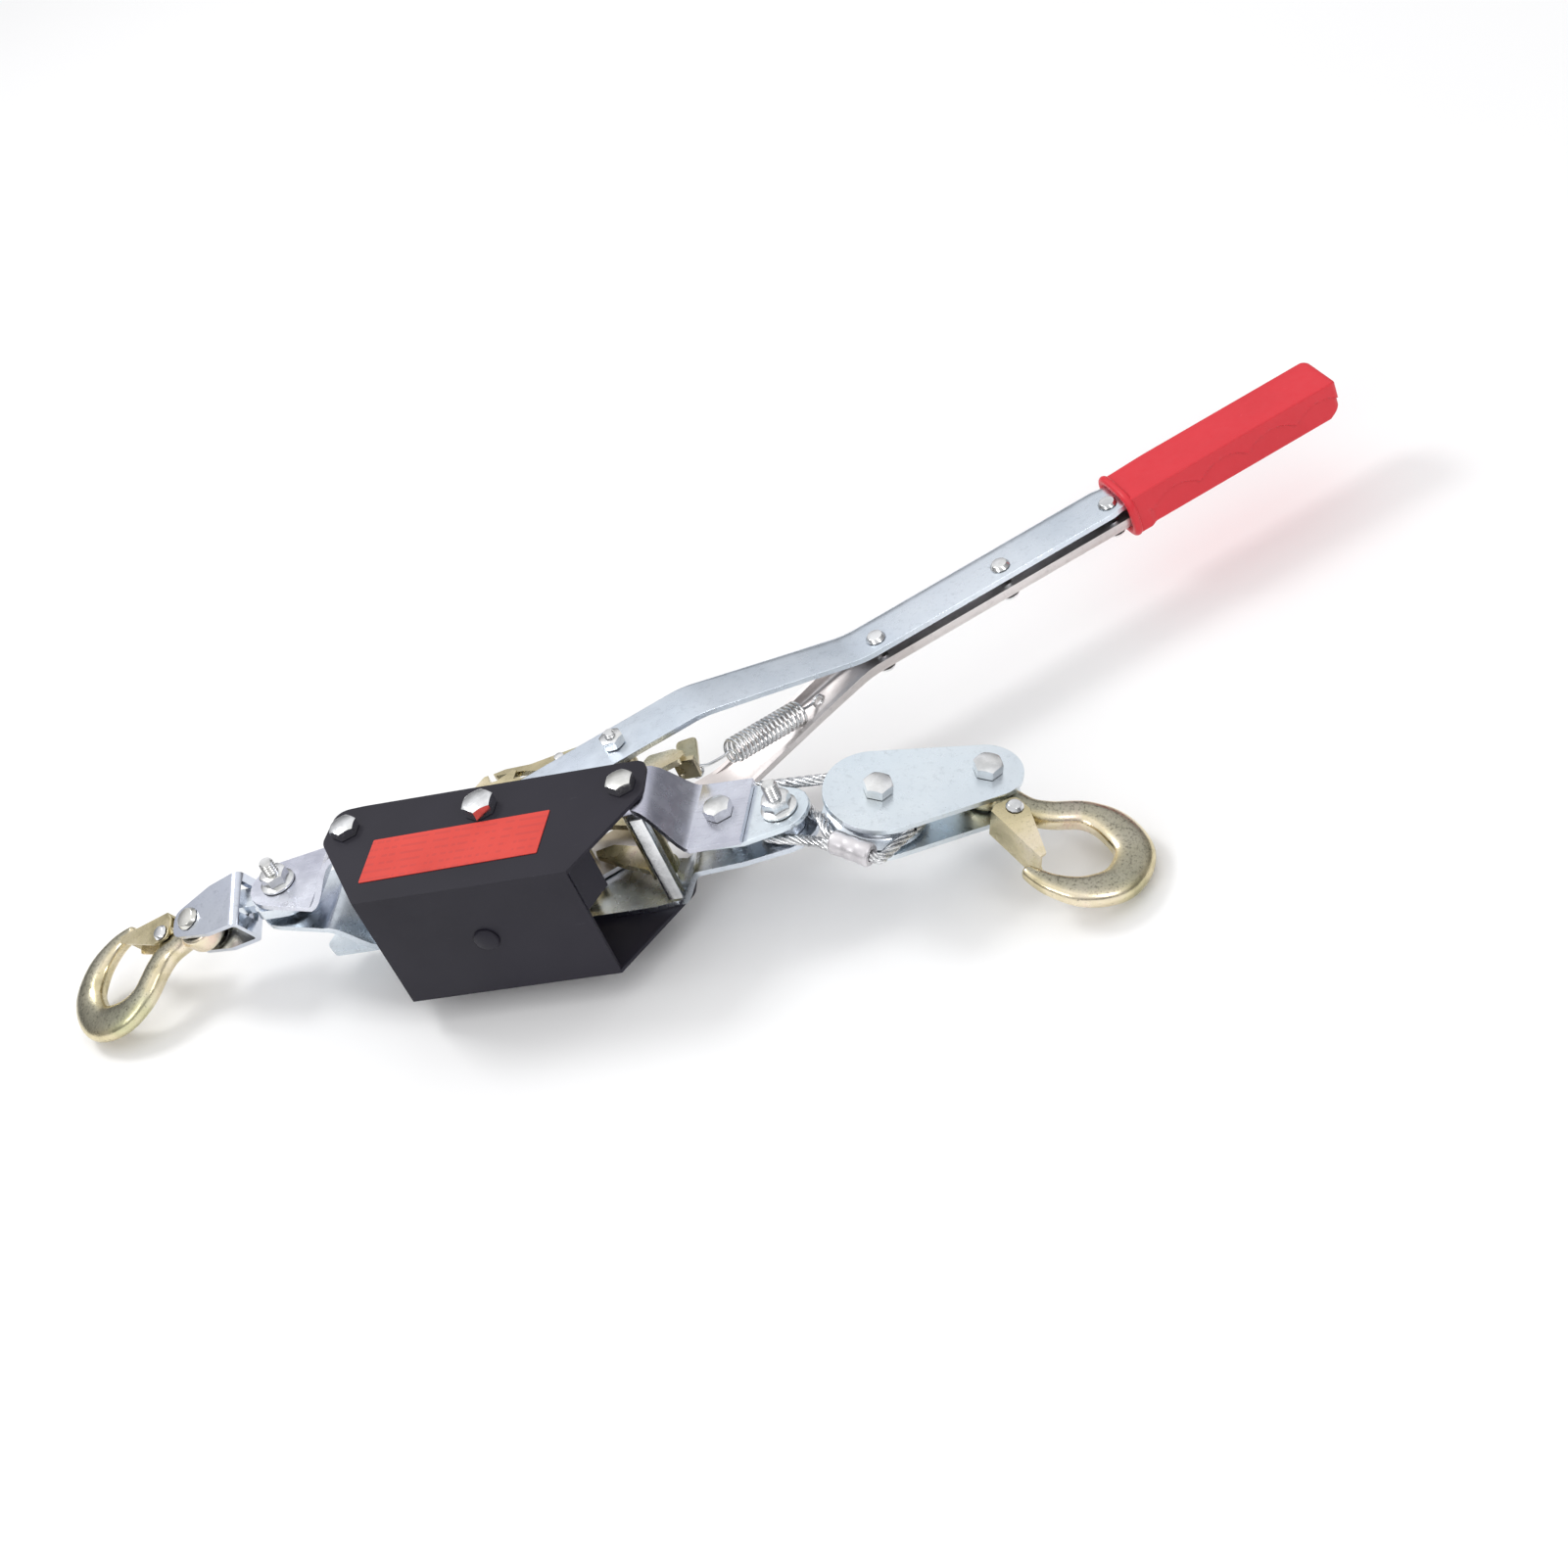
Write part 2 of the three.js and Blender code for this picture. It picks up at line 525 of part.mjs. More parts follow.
function grip() {
  const [x0, x1] = GRIP_R;
  const along = new THREE.Matrix4().makeBasis(new THREE.Vector3(0, 1, 0), new THREE.Vector3(0, 0, 1),
    new THREE.Vector3(1, 0, 0));
  const h = GRIP_HALF_WIDTH;
  const section = rounded([[h, -GRIP_HALF], [h, GRIP_HALF], [-h, GRIP_HALF], [-h, -GRIP_HALF]], [2.5, 2.5, 1.2, 2.5]);
  const bar = slab(section, x0, x1, 4).applyMatrix4(along);
  const plan = rounded([[x0, -h - 1], [x1, -h - 1], [x1, -h + 2], [x1 - 3.5, h], [x0 + 28, h], [x0, h - 1.2]],
    [0, 1, 3, 3, 8, 0]);
  const side = rounded([[x0, -20], [x1 - 6, -20], [x1 - 6, -GRIP_HALF], [x1, -4.5], [x1, 5.5], [x1 - 2, GRIP_HALF],
    [x1 - 2, 20], [x0, 20]], [0, 0, 0, 2.5, 1.5, 0, 0, 0]);
  const ends = slab(side, -30, 30, 3).rotateX(Math.PI / 2);
  // The front is cut back below the finger wave.
  const wave = [[x0 + 10, -20]];
  for (let x = x0 + 10; x <= x1 - 4; x += 2.4) wave.push([x, fingerWave(x)]);
  wave.push([x1 + 1, fingerWave(x1)], [x1 + 1, -20]);
  const recess = slab(shapeOf(wave), h - 1.4, h + 5).rotateX(Math.PI / 2);
  const collar = softSlab(rounded([[-18, -14], [18, -14], [18, 14], [-18, 14]], 7), 0, 5.2, 2.2, 6, 2)
    .rotateX(Math.PI / 2).rotateZ(Math.PI / 2).translate(x0 - 2, 0, 0);
  const w = ARM_HALF_WIDTH + GAP;
  const z = ARM_TOP_Z + GAP;
  const bore = new THREE.BoxGeometry(480 - x0 + 8, 2 * w, 2 * z).translate((480 + x0 - 8) / 2, 0, 0);
  const shaped = cut(common(common(bar, slab(plan, -20, 20, 4)), ends), recess);
  add('grip', cut(join(shaped, collar), bore), redPlastic, leverTurn);
}

// A pawl for both wheels: two side plates on a sleeve, drawn about its pivot.
function pawl(sideShape, extras, bore) {
  const [z0, z1] = [PAWL_Z, PAWL_Z + PAWL_SHEET];
  const upper = slab(sideShape, z0, z1, 4);
  const lower = slab(sideShape, -z1, -z0, 4);
  const sleeve = post(7, -z0 - 0.5, z0 + 0.5);
  return cut(join(upper, lower, sleeve, ...extras), post(bore, -60, 60));
}

function drivePawl() {
  const side = rounded([[8, -4], [6, 7], [-10, 20.5], [-26, 25.5], [-40, 29.5], [-52, 36.5], [-59, 38.2], [-57.7, 35.6],
    [-50, 31], [-45, 27.7], [-36, 19], [-20, 10], [-7, -4]], [5, 6, 8, 8, 8, 4, 0.5, 0.5, 3, 4, 6, 8, 6]);
  const bridge = new THREE.BoxGeometry(17, 3, 2 * PAWL_Z + 2).rotateZ(rad(-17)).translate(-27, 22, 0);
  const body = pawl(side, [bridge], PAWL_PIN_R + FIT);
  const place = leverTurn.clone().multiply(new THREE.Matrix4().makeTranslation(PAWL_BOLT_R, 0, 0));
  add('drive_pawl', body, yellowZinc, place);
  const rivetProfile = [[0, 0], [3, 0], [2.6, 1.6], [0, 2]];
  const rivet = new THREE.LatheGeometry(rivetProfile.map(([a, b]) => new THREE.Vector2(a, b)), 14);
  add('drive_pawl_rivet', rivet.rotateX(Math.PI / 2).translate(-26, 21, PAWL_Z + PAWL_SHEET + GAP), brightZinc, place);
  const top = BLADE_Z + BLADE + GAP;
  const bolt = flip(hexBolt(PAWL_PIN_R, 11, 4.5, -top - 8.5, top, 0, 0)).translate(PAWL_BOLT_R, 0, 0);
  add('drive_pawl_bolt', bolt, brightZinc, leverTurn);
  add('drive_pawl_nut', hexNut(PAWL_PIN_R + GAP, 11, top, top + 5.5, PAWL_BOLT_R, 0), brightZinc, leverTurn);
}

function holdingPawl() {
  const side = rounded([[6, -4], [6.3, 12], [9, 22], [20, 27.5], [23, 33], [15, 36], [2, 34], [-3, 20], [-32, 22],
    [-41.5, 19.2], [-40.3, 15.8], [-24, 6.5], [-8, -1], [-6, -5]], [5, 3, 4, 4, 3, 3, 4, 8, 3, 0.4, 0.4, 4, 4, 3]);
  const tabFoot = new THREE.BoxGeometry(11, 3, 12).translate(21, 29.5, PAWL_Z - 4.5);
  const tab = softSlab(rounded([[-5.5, 0], [5.5, 0], [5.5, 27], [-5.5, 27]], [1.5, 1.5, 3, 3]), 0, 3, 0.6, 3, 1)
    .rotateZ(rad(14)).translate(21, 28.5, PAWL_Z - 10);
  const upperSide = slab(side, PAWL_Z, PAWL_Z + PAWL_SHEET, 4);
  const shortSide = rounded([[6, -4], [6.5, 6], [-3, 14], [-32, 22], [-41.5, 19.2], [-40.3, 15.8], [-24, 6.5], [-8, -1],
    [-6, -5]], [5, 5, 8, 3, 0.4, 0.4, 4, 4, 3]);
  const lowerSide = slab(shortSide, -PAWL_Z - PAWL_SHEET, -PAWL_Z, 4);
  const sleeve = post(7, -PAWL_Z - 0.5, PAWL_Z + 0.5);
  const eye = post(1.6, 0, 40, 22.5, 33, 10);
  const body = cut(join(upperSide, lowerSide, sleeve, tabFoot, tab), post(4 + FIT, -60, 60), eye);
  add('holding_pawl', body.translate(COVER_BOLT_X, 0, 0), yellowZinc);
}

// Round wire or cord along a smooth route through the given points.
function cord(points, diameter, steps, sides = 8) {
  const curve = new THREE.CatmullRomCurve3(points.map((p) => new THREE.Vector3(...p)), false, 'centripetal');
  const section = new THREE.Shape();
  section.absarc(0, 0, diameter / 2, 0, 2 * Math.PI, false);
  const options = { steps, bevelEnabled: false, extrudePath: curve, curveSegments: sides / 2 };
  return new THREE.ExtrudeGeometry(section, options);
}

const SPRING_LOW = [98.9, 33, 8.8];
const SPRING_HIGH = [147.3, 98, -12.4];

function spring() {
  const low = new THREE.Vector3(...SPRING_LOW);
  const high = new THREE.Vector3(...SPRING_HIGH);
  const along = high.clone().sub(low);
  const length = along.length();
  const place = frameOf(SPRING_LOW, [0, 0, 1], along.toArray());
  const bodyStart = length * 0.27;
  const bodyEnd = length * 0.83;
  const r = 6.3;
  // Plain coil envelope: a sleeve of stacked rings between two hook wires.
  const rings = 9;
  const pitch = (bodyEnd - bodyStart) / rings;
  const profile = [[0, bodyStart]];
  for (let i = 0; i < rings; i += 1) {
    profile.push([r - 0.7, bodyStart + pitch * (i + 0.02) + 0.01]);
    profile.push([r + 0.5, bodyStart + pitch * (i + 0.5)]);
  }
  profile.push([r - 0.7, bodyEnd], [0, bodyEnd]);
  const body = new THREE.LatheGeometry(profile.map(([a, b]) => new THREE.Vector2(a, b)), 12).rotateX(Math.PI / 2);
  const lowHook = cord([[0, 0, 0], [0, 1.5, bodyStart * 0.5], [0, 4, bodyStart + 2]], 2, 6, 6);
  const highHook = cord([[0, 4, bodyEnd - 2], [0, 2, bodyEnd + 3], [0, 0, length - 2.5]], 2, 6, 6);
  add('pawl_spring', join(body, lowHook, highHook), brightZinc, place);
}

// ---- Hooks ----
// Centre line of a hook in its own plane with half widths: X runs down the pull line
// from the eye, Y towards the hook's back.
const HOOK_LINE = [
  [10, 0, 8], [25, 1, 7.5], [37, 8, 7.5], [49, 20, 8], [65, 24, 10.6], [83.5, 17.5, 10.8],
  [91, -2, 10.4], [83, -18.5, 8.6], [69, -27, 5.8], [59, -29, 4.4], [54, -29.5, 3.4],
];

function hookOutline() {
  const centre = new THREE.SplineCurve(HOOK_LINE.map(([x, y]) => new THREE.Vector2(x, y)));
  const widths = new THREE.SplineCurve(HOOK_LINE.map(([, , w], i) => new THREE.Vector2(i, w)));
  const steps = 30;
  const back = [];
  const front = [];
  for (let i = 0; i <= steps; i += 1) {
    const t = i / steps;
    const p = centre.getPoint(t);
    const normal = centre.getTangent(t);
    const w = widths.getPoint(t).y;
    back.push([p.x - normal.y * w, p.y + normal.x * w]);
    front.push([p.x + normal.y * w, p.y - normal.x * w]);
  }
  return shapeOf([...back, ...front.reverse()]);
}

function hook() {
  const body = softSlab(hookOutline(), -6.5, 6.5, 1, 1, 1);
  const eye = softSlab(shapeCircle(13.5), -6.5, 6.5, 1, 12, 1);
  const lug = softSlab(shapeCircle(6, ...LATCH_PIVOT), -6.5, 6.5, 1, 6, 1);
  const whole = cut(join(body, eye, lug), post(7, -20, 20), post(2.3, -20, 20, ...LATCH_PIVOT, 12));
  const s = HOOK_SCALE;
  return whole.scale(s, s, HOOK_HALF / 6.5);
}

function shapeCircle(r, x = 0, y = 0) {
  const shape = new THREE.Shape();
  shape.absarc(x, y, r, 0, 2 * Math.PI, false);
  return shape;
}

// A sheet latch: two cheeks on the hook's faces and a web across its mouth.
function latch() {
  const inner = HOOK_HALF / (HOOK_HALF / 6.5) + 0.5;
  const cheek = rounded([[17, -13], [20, -1], [31, -2.5], [57, -19], [57, -23.4], [19, -17.5]], [3, 4, 4, 1, 1, 2]);
  const cheeks = [slab(cheek, inner, inner + 1.4, 3), slab(cheek, -inner - 1.4, -inner, 3)];
  const web = slab(shapeOf([[18.7, -17.6], [57, -23.4], [57, -21.9], [19, -16.1]]), -inner - 1.4, inner + 1.4);
  const body = cut(join(...cheeks, web), post(2.3, -20, 20, ...LATCH_PIVOT, 12));
  const s = HOOK_SCALE;
  return body.scale(s, s, HOOK_HALF / 6.5);
}

function latchRivet() {
  const z = HOOK_HALF + 2.3;
  const profile = [[0, -z - 2], [3.2, -z - 1.6], [4.6, -z], [1.9, -z], [1.9, z], [4.6, z], [3.2, z + 1.6], [0, z + 2]];
  const body = new THREE.LatheGeometry(profile.map(([a, b]) => new THREE.Vector2(a, b)), 12);
  return body.rotateX(Math.PI / 2).translate(LATCH_PIVOT[0] * HOOK_SCALE, LATCH_PIVOT[1] * HOOK_SCALE, 0);
}

function hookSet(prefix, place) {
  add(`${prefix}_hook`, hook(), yellowZinc, place);
  add(`${prefix}_latch`, latch(), yellowZinc, place);
  add(`${prefix}_latch_rivet`, latchRivet(), brightZinc, place);
}

// ---- Sheave block ----
const blockFrame = frameOf(BLOCK_AT, BLOCK_X, BLOCK_Z);

function sheaveBlock() {
  const z0 = BLOCK_GAP / 2;
  const z1 = z0 + BLOCK_PLATE;
  const outline = teardrop(BLOCK_R, 17.5, BLOCK_LENGTH);
  outline.holes.push(hole(BLOCK_BOLT_R + FIT, 0, 0), hole(BLOCK_BOLT_R + FIT, BLOCK_LENGTH, 0));
  const plate = slab(outline, z0, z1, 14);
  add('block_plate_near', plate, zinc, blockFrame);
  add('block_plate_far', plate.clone().translate(0, 0, -z0 - z1), zinc, blockFrame);
  [['sheave_bolt', 0], ['hook_bolt', BLOCK_LENGTH]].forEach(([name, x]) => {
    add(name, hexBolt(BLOCK_BOLT_R, 13, 5.5, -z1 - 10, z1 + GAP, x, 0), brightZinc, blockFrame);
    add(`${name}_nut`, hexNut(BLOCK_BOLT_R + GAP, 13, -z1 - GAP - 6.5, -z1 - GAP, x, 0), brightZinc, blockFrame);
  });
  const s = SHEAVE_R;
  const g = SHEAVE_GROOVE_R;
  const bore = BLOCK_BOLT_R + FIT;
  const profile = [[bore, -6.5], [11, -6.5], [11, -5.5], [s, -5.5], [s, -4.6], [g + 1.2, -2.4], [g, 0], [g + 1.2, 2.4],
    [s, 4.6], [s, 5.5], [11, 5.5], [11, 6.5], [bore, 6.5], [bore, -6.5]];
  const wheel = new THREE.LatheGeometry(profile.map(([a, b]) => new THREE.Vector2(a, b)), 26);
  add('sheave', wheel.rotateX(Math.PI / 2), zinc, blockFrame);
  add('hook_bush', tube(BLOCK_BOLT_R + FIT, 6.3, -z0 + GAP, z0 - GAP, BLOCK_LENGTH), zinc, blockFrame);
  const turn = new THREE.Matrix4().makeRotationZ(rad(BLOCK_HOOK_ANGLE));
  const place = blockFrame.clone().multiply(new THREE.Matrix4().makeTranslation(BLOCK_LENGTH, 0, 0)).multiply(turn);
  hookSet('block', place);
}

// ---- Anchor end ----
const clevisFrame = frameOf(CLEVIS_AT, CLEVIS_X, CLEVIS_Z);

function anchorEnd() {
  // Flat link from the tail bolt, through the clevis web, turned up inside it.
  const x = TAIL_X - CLEVIS_AT[0];
  const link = slab(rounded([[-14.5, -13], [13, -13], [13, 13], [-14.5, 13]], [6, 12, 12, 6]), -3, 3, 8);
  const tongue = new THREE.BoxGeometry(x + 7.5, 14, 5).translate(-(x + 7.5) / 2, 0, 0);
  const lip = new THREE.BoxGeometry(4, 14, 11).translate(-x - 5.5, 0, -3);
  const body = cut(join(link, tongue, lip), post(NECK_BOLT_R + FIT, -20, 20));
  add('tail_link', body.translate(TAIL_X, 0, 0), zinc);

  // The clevis: one strip bent into a U, its cheeks narrowing to the hook pin.
  const g = CLEVIS_HALF_GAP;
  const sheet = 3;
  const outer = g + sheet;
  const reach = CLEVIS_REACH + 11;
  const cheek = rounded([[-1.5, -16], [20, -14.5], [reach, -7], [reach, 7], [20, 14.5], [-1.5, 16]],
    [0, 8, 7, 7, 8, 0]);
  const bent = rounded([[-1.5, -outer], [reach + 1, -outer], [reach + 1, outer], [-1.5, outer]], [5, 0, 0, 5]);
  const hollow = rounded([[-1.5 + sheet, -g], [reach + 2, -g], [reach + 2, g], [-1.5 + sheet, g]], [2, 0, 0, 2]);
  const across = (shape, half) => slab(shape, -half, half, 6).rotateX(Math.PI / 2);
  const strip = cut(across(bent, 17), across(hollow, 18));
  const slot = new THREE.BoxGeometry(8, 18.6, 13.1).translate(0, -1.4, 1.2);
  const clevis = cut(common(strip, slab(cheek, -outer - 1, outer + 1, 5)), slot,
    post(5 + FIT, -30, 30, CLEVIS_REACH));
  add('clevis', clevis, zinc, clevisFrame);
  const z = outer + GAP;
  const profile = [[0, -z - 2.5], [5, -z - 2.2], [7, -z], [5, -z], [5, z], [6.8, z], [5.4, z + 2.4], [0, z + 3]];
  const pin = new THREE.LatheGeometry(profile.map(([a, b]) => new THREE.Vector2(a, b)), 12);
  add('clevis_pin', pin.rotateX(Math.PI / 2).translate(CLEVIS_REACH, 0, 0), brightZinc, clevisFrame);
  const turn = new THREE.Matrix4().makeRotationZ(rad(TAIL_HOOK_ANGLE));
  const place = clevisFrame.clone().multiply(new THREE.Matrix4().makeTranslation(CLEVIS_REACH, 0, 0)).multiply(turn);
  hookSet('anchor', place);
}

// ---- Cable ----
// Out of the drum to the sheave, round it, back through the ferrule to the anchor bolt.
const EXIT_Y = WOUND_R + ROPE_D / 2 + GAP;
const ANCHOR_LOOP_R = 12.6;
const ANCHOR_LOOP_Z = -1.7;
const FERRULE_LENGTH = 21.5;
const FERRULE_AT = [-19.4, -25];  // in the block's plane at rest
const FERRULE_DIR = [0.686, -0.727];
const FERRULE_LIFT = 1.1;
const FERRULE_TILT = 0.11;

function inBlock(x, y, z = 0) {
  return new THREE.Vector3(x, y, z).applyMatrix4(blockFrame).toArray();
}

function cable() {
  const r = SHEAVE_GROOVE_R + ROPE_D / 2 + 0.4;
  const wrap = [];
  for (let a = 96; a >= -58; a -= 11) wrap.push(inBlock(r * Math.cos(rad(a)), r * Math.sin(rad(a))));
  add('cable_on_sheave', cord(wrap, ROPE_D, 20, 6), ropeSteel);
  const top = inBlock(r * Math.cos(rad(98)), r * Math.sin(rad(98)));
  const lead = inBlock(r * Math.cos(rad(97)) - 12, r * Math.sin(rad(97)) + 0.6);
  add('cable_run', cord([[2, EXIT_Y, 0], [20, EXIT_Y, 0], [70, EXIT_Y - 1, 0], [125, EXIT_Y - 4.5, 0], lead, top],
    ROPE_D, 16, 8), ropeSteel);

  // The ferrule clamps the returning cable to its own tail beside the sheave.
  const [fx, fy] = FERRULE_AT;
  const [dx, dy] = FERRULE_DIR;
  const half = FERRULE_LENGTH / 2;
  const axis = new THREE.Vector3(dx, dy, FERRULE_TILT).transformDirection(blockFrame);
  const centre = new THREE.Vector3(...inBlock(fx, fy, FERRULE_LIFT));
  const profile = [[0, -half], [5.2, -half], [5.9, -half + 1], [5.9, half - 1], [5.2, half], [0, half]];
  const ferrule = new THREE.LatheGeometry(profile.map(([a, b]) => new THREE.Vector2(a, b)), 22);
  add('ferrule', ferrule.rotateX(Math.PI / 2), aluminium, frameOf(centre.toArray(), BLOCK_Z, axis.toArray()));
  const start = half + GAP;
  const last = wrap.length - 1;
  const leave = rad(96 - 11 * last - 2);
  add('cable_return', cord([
    inBlock(r * Math.cos(leave), r * Math.sin(leave)),
    inBlock(2, -26.6, 0.3), inBlock(-4.5, -32, 0.8),
    centre.clone().addScaledVector(axis, start + 4).toArray(),
    centre.clone().addScaledVector(axis, start).toArray(),
  ], ROPE_D, 10, 8), ropeSteel);

  // Loop round the anchor thimble, both legs held by the ferrule.
  const mouth = centre.clone().addScaledVector(axis, -start);
  const side = new THREE.Vector3(axis.y, -axis.x, 0).normalize();
  const leg = (sign, along) => mouth.clone().addScaledVector(axis, -along)
    .addScaledVector(side, -sign * 2.95).toArray();
  const z = ANCHOR_LOOP_Z;
  const ring = [];
  for (let a = 40; a <= 238; a += 18) {
    ring.push([NECK_X + ANCHOR_LOOP_R * Math.cos(rad(a)), ANCHOR_LOOP_R * Math.sin(rad(a)), z]);
  }
  const nearNeck = [[162.9, -1.5, z + 1.7], [168.8, -9, z + 5.8], [157.5, -16.5, z + 0.6]];
  add('cable_anchor_loop', cord([leg(1, 0), leg(1, 3), nearNeck[1], nearNeck[0], ...ring, nearNeck[2], leg(-1, 3), leg(-1, 0)],
    ROPE_D, 36, 6), ropeSteel);
}

sidePlates();
neckLink();
cover();
frameFasteners();
neckFasteners();
drum();
ratchetWheels();
lever();
grip();
drivePawl();
holdingPawl();
spring();
sheaveBlock();
anchorEnd();
cable();

winch.position.z = COVER_Z + COVER + 9.5 + 3;
export default winch;
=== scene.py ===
import math

import bmesh
import bpy
import numpy as np
from mathutils import Matrix, Vector


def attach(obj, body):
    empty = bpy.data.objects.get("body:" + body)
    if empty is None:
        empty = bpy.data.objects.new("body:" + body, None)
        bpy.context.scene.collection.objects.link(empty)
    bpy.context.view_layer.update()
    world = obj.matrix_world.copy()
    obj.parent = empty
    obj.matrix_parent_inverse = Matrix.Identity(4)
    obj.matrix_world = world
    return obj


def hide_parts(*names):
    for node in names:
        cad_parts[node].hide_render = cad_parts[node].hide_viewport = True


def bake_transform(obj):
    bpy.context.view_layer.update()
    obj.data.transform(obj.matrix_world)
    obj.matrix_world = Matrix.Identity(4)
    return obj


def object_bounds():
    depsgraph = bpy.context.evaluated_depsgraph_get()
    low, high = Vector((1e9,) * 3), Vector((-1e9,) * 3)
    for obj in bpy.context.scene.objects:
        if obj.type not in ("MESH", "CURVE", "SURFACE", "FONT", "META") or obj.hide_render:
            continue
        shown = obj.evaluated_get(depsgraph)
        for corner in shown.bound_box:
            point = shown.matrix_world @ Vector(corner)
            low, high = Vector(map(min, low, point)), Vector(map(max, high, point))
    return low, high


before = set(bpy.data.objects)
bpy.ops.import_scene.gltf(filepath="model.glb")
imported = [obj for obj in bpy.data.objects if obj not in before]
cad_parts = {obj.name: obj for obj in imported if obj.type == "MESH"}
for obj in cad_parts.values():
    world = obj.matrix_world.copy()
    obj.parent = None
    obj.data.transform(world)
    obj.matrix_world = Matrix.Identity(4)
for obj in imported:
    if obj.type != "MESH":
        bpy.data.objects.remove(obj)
cad_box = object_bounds()

LIFT = 48.45
MM = 0.001
ROPE_D = 5.5
LEVER_ANGLE = math.radians(33)
DRIVE_PAWL_U = 73  # along the lever
COVER_TAIL_X = -76
PAWL_PIVOT_X = 76
STRAP_X = 117
ANCHOR_X = 147
TAIL_X = -129
BLOCK_LENGTH = 54.5  # sheave bolt to hook bolt
CLEVIS_LENGTH = 34  # tail link to clevis pin
HOOK_SCALE = 0.95
HOOK_HALF = 6.2


# ---- Frames of reference ----
def frame_of(origin, x_dir, z_dir):
    """Frame at origin with its Z along z_dir and its X as near x_dir as it can be."""
    z = Vector(z_dir).normalized()
    y = z.cross(Vector(x_dir)).normalized()
    x = y.cross(z)
    m = Matrix((x, y, z)).transposed().to_4x4()
    m.translation = Vector(origin)
    return m


def turned(m, offset, degrees):
    """Frame m moved by offset along its own axes and then turned about its Z."""
    return m @ Matrix.Translation(offset) @ Matrix.Rotation(math.radians(degrees), 4, "Z")


WORLD = Matrix.Identity(4)
LEVER = Matrix.Rotation(LEVER_ANGLE, 4, "Z")
BLOCK = frame_of((194.4, 0, -2), (0.871, 0.381, -0.309), (0.343, -0.022, 0.939))
CLEVIS = frame_of((-152, -1, -2), (-0.9, -0.02, -0.27), (-0.27, -0.28, 0.92))
BLOCK_HOOK = turned(BLOCK, (BLOCK_LENGTH, 0, 0), -60)
ANCHOR_HOOK = turned(CLEVIS, (CLEVIS_LENGTH, 0, 0), 10)
FLIP = Matrix.Rotation(math.pi, 4, "X")
FLIP_Z = Matrix.Diagonal((1, 1, -1, 1))


# ---- Materials ----
class Nodes:
    """A short way to build a material's nodes."""

    def __init__(self, name):
        self.material = bpy.data.materials.new(name)
        self.material.use_nodes = True
        self.tree = self.material.node_tree
        self.shader = self.tree.nodes["Principled BSDF"]

    def add(self, kind, **values):
        node = self.tree.nodes.new(kind)
        for key, value in values.items():
            setattr(node, key, value)
        return node

    def link(self, source, target):
        self.tree.links.new(source, target)

    def coords(self, scale=(1, 1, 1)):
        where = self.add("ShaderNodeTexCoord")
        mapping = self.add("ShaderNodeMapping")
        mapping.inputs["Scale"].default_value = scale
        self.link(where.outputs["Object"], mapping.inputs["Vector"])
        return mapping.outputs["Vector"]

    def noise(self, scale, detail=3, stretch=(1, 1, 1), rough=0.5, distortion=0.0):
        node = self.add("ShaderNodeTexNoise")
        node.inputs["Scale"].default_value = scale
        node.inputs["Detail"].default_value = detail
        node.inputs["Roughness"].default_value = rough
        node.inputs["Distortion"].default_value = distortion
        self.link(self.coords(stretch), node.inputs["Vector"])
        return node.outputs["Fac"]

    def ramp(self, source, stops):
        node = self.add("ShaderNodeValToRGB")
        ramp = node.color_ramp
        while len(ramp.elements) < len(stops):
            ramp.elements.new(0.5)
        for element, (position, value) in zip(ramp.elements, stops):
            element.position = position
            colour = value if isinstance(value, tuple) else (value, value, value)
            element.color = (*colour, 1)
        self.link(source, node.inputs["Fac"])
        return node.outputs["Color"]

    def mix(self, factor, a, b, mode="MIX"):
        node = self.add("ShaderNodeMix", data_type="RGBA", blend_type=mode)
        for value, key in ((factor, "Factor"), (a, "A"), (b, "B")):
            socket = node.inputs[key]
            if isinstance(value, bpy.types.NodeSocket):
                self.link(value, socket)
            elif isinstance(value, tuple):
                socket.default_value = (*value, 1)
            else:
                socket.default_value = value
        return node.outputs["Result"]

    def bump(self, height, strength, distance):
        node = self.add("ShaderNodeBump")
        node.inputs["Strength"].default_value = strength
        node.inputs["Distance"].default_value = distance
        self.link(height, node.inputs["Height"])
        return node.outputs["Normal"]

    def finish(self, colour, roughness, metallic, normal=None, specular=0.5):
        self.link(colour, self.shader.inputs["Base Color"])
        if isinstance(roughness, bpy.types.NodeSocket):
            self.link(roughness, self.shader.inputs["Roughness"])
        else:
            self.shader.inputs["Roughness"].default_value = roughness
        self.shader.inputs["Metallic"].default_value = metallic
        self.shader.inputs["Specular IOR Level"].default_value = specular
        if normal is not None:
            self.link(normal, self.shader.inputs["Normal"])
        return self.material


def zinc(name, light, dark, tint, rough=(0.2, 0.34), grain=(1, 1, 1), grain_scale=300,
         relief=0.08):
    """Zinc plate: soft cloudy tone, faint rainbow tint, fine scratches and a few small dark specks."""
    n = Nodes(name)
    cloud = n.noise(16, 4, rough=0.55)
    base = n.ramp(cloud, [(0.36, dark), (0.6, light)])
    hue = n.noise(11, 3)
    base = n.mix(n.ramp(hue, [(0.48, 0.0), (0.74, 0.6)]), base, tint)
    scratch = n.noise(grain_scale, 3, grain, rough=0.7)
    base = n.mix(n.ramp(scratch, [(0.3, 0.25), (0.46, 0.0)]), base, tuple(v * 0.6 for v in dark))
    specks = n.noise(1100, 2, rough=0.7)
    base = n.mix(n.ramp(specks, [(0.26, 0.5), (0.31, 0.0)]), base, (0.16, 0.16, 0.17))
    spots = n.noise(130, 3)
    roughness = n.ramp(spots, [(0.3, rough[0]), (0.75, rough[1])])
    return n.finish(base, roughness, 1.0, n.bump(scratch, relief, 0.0001))


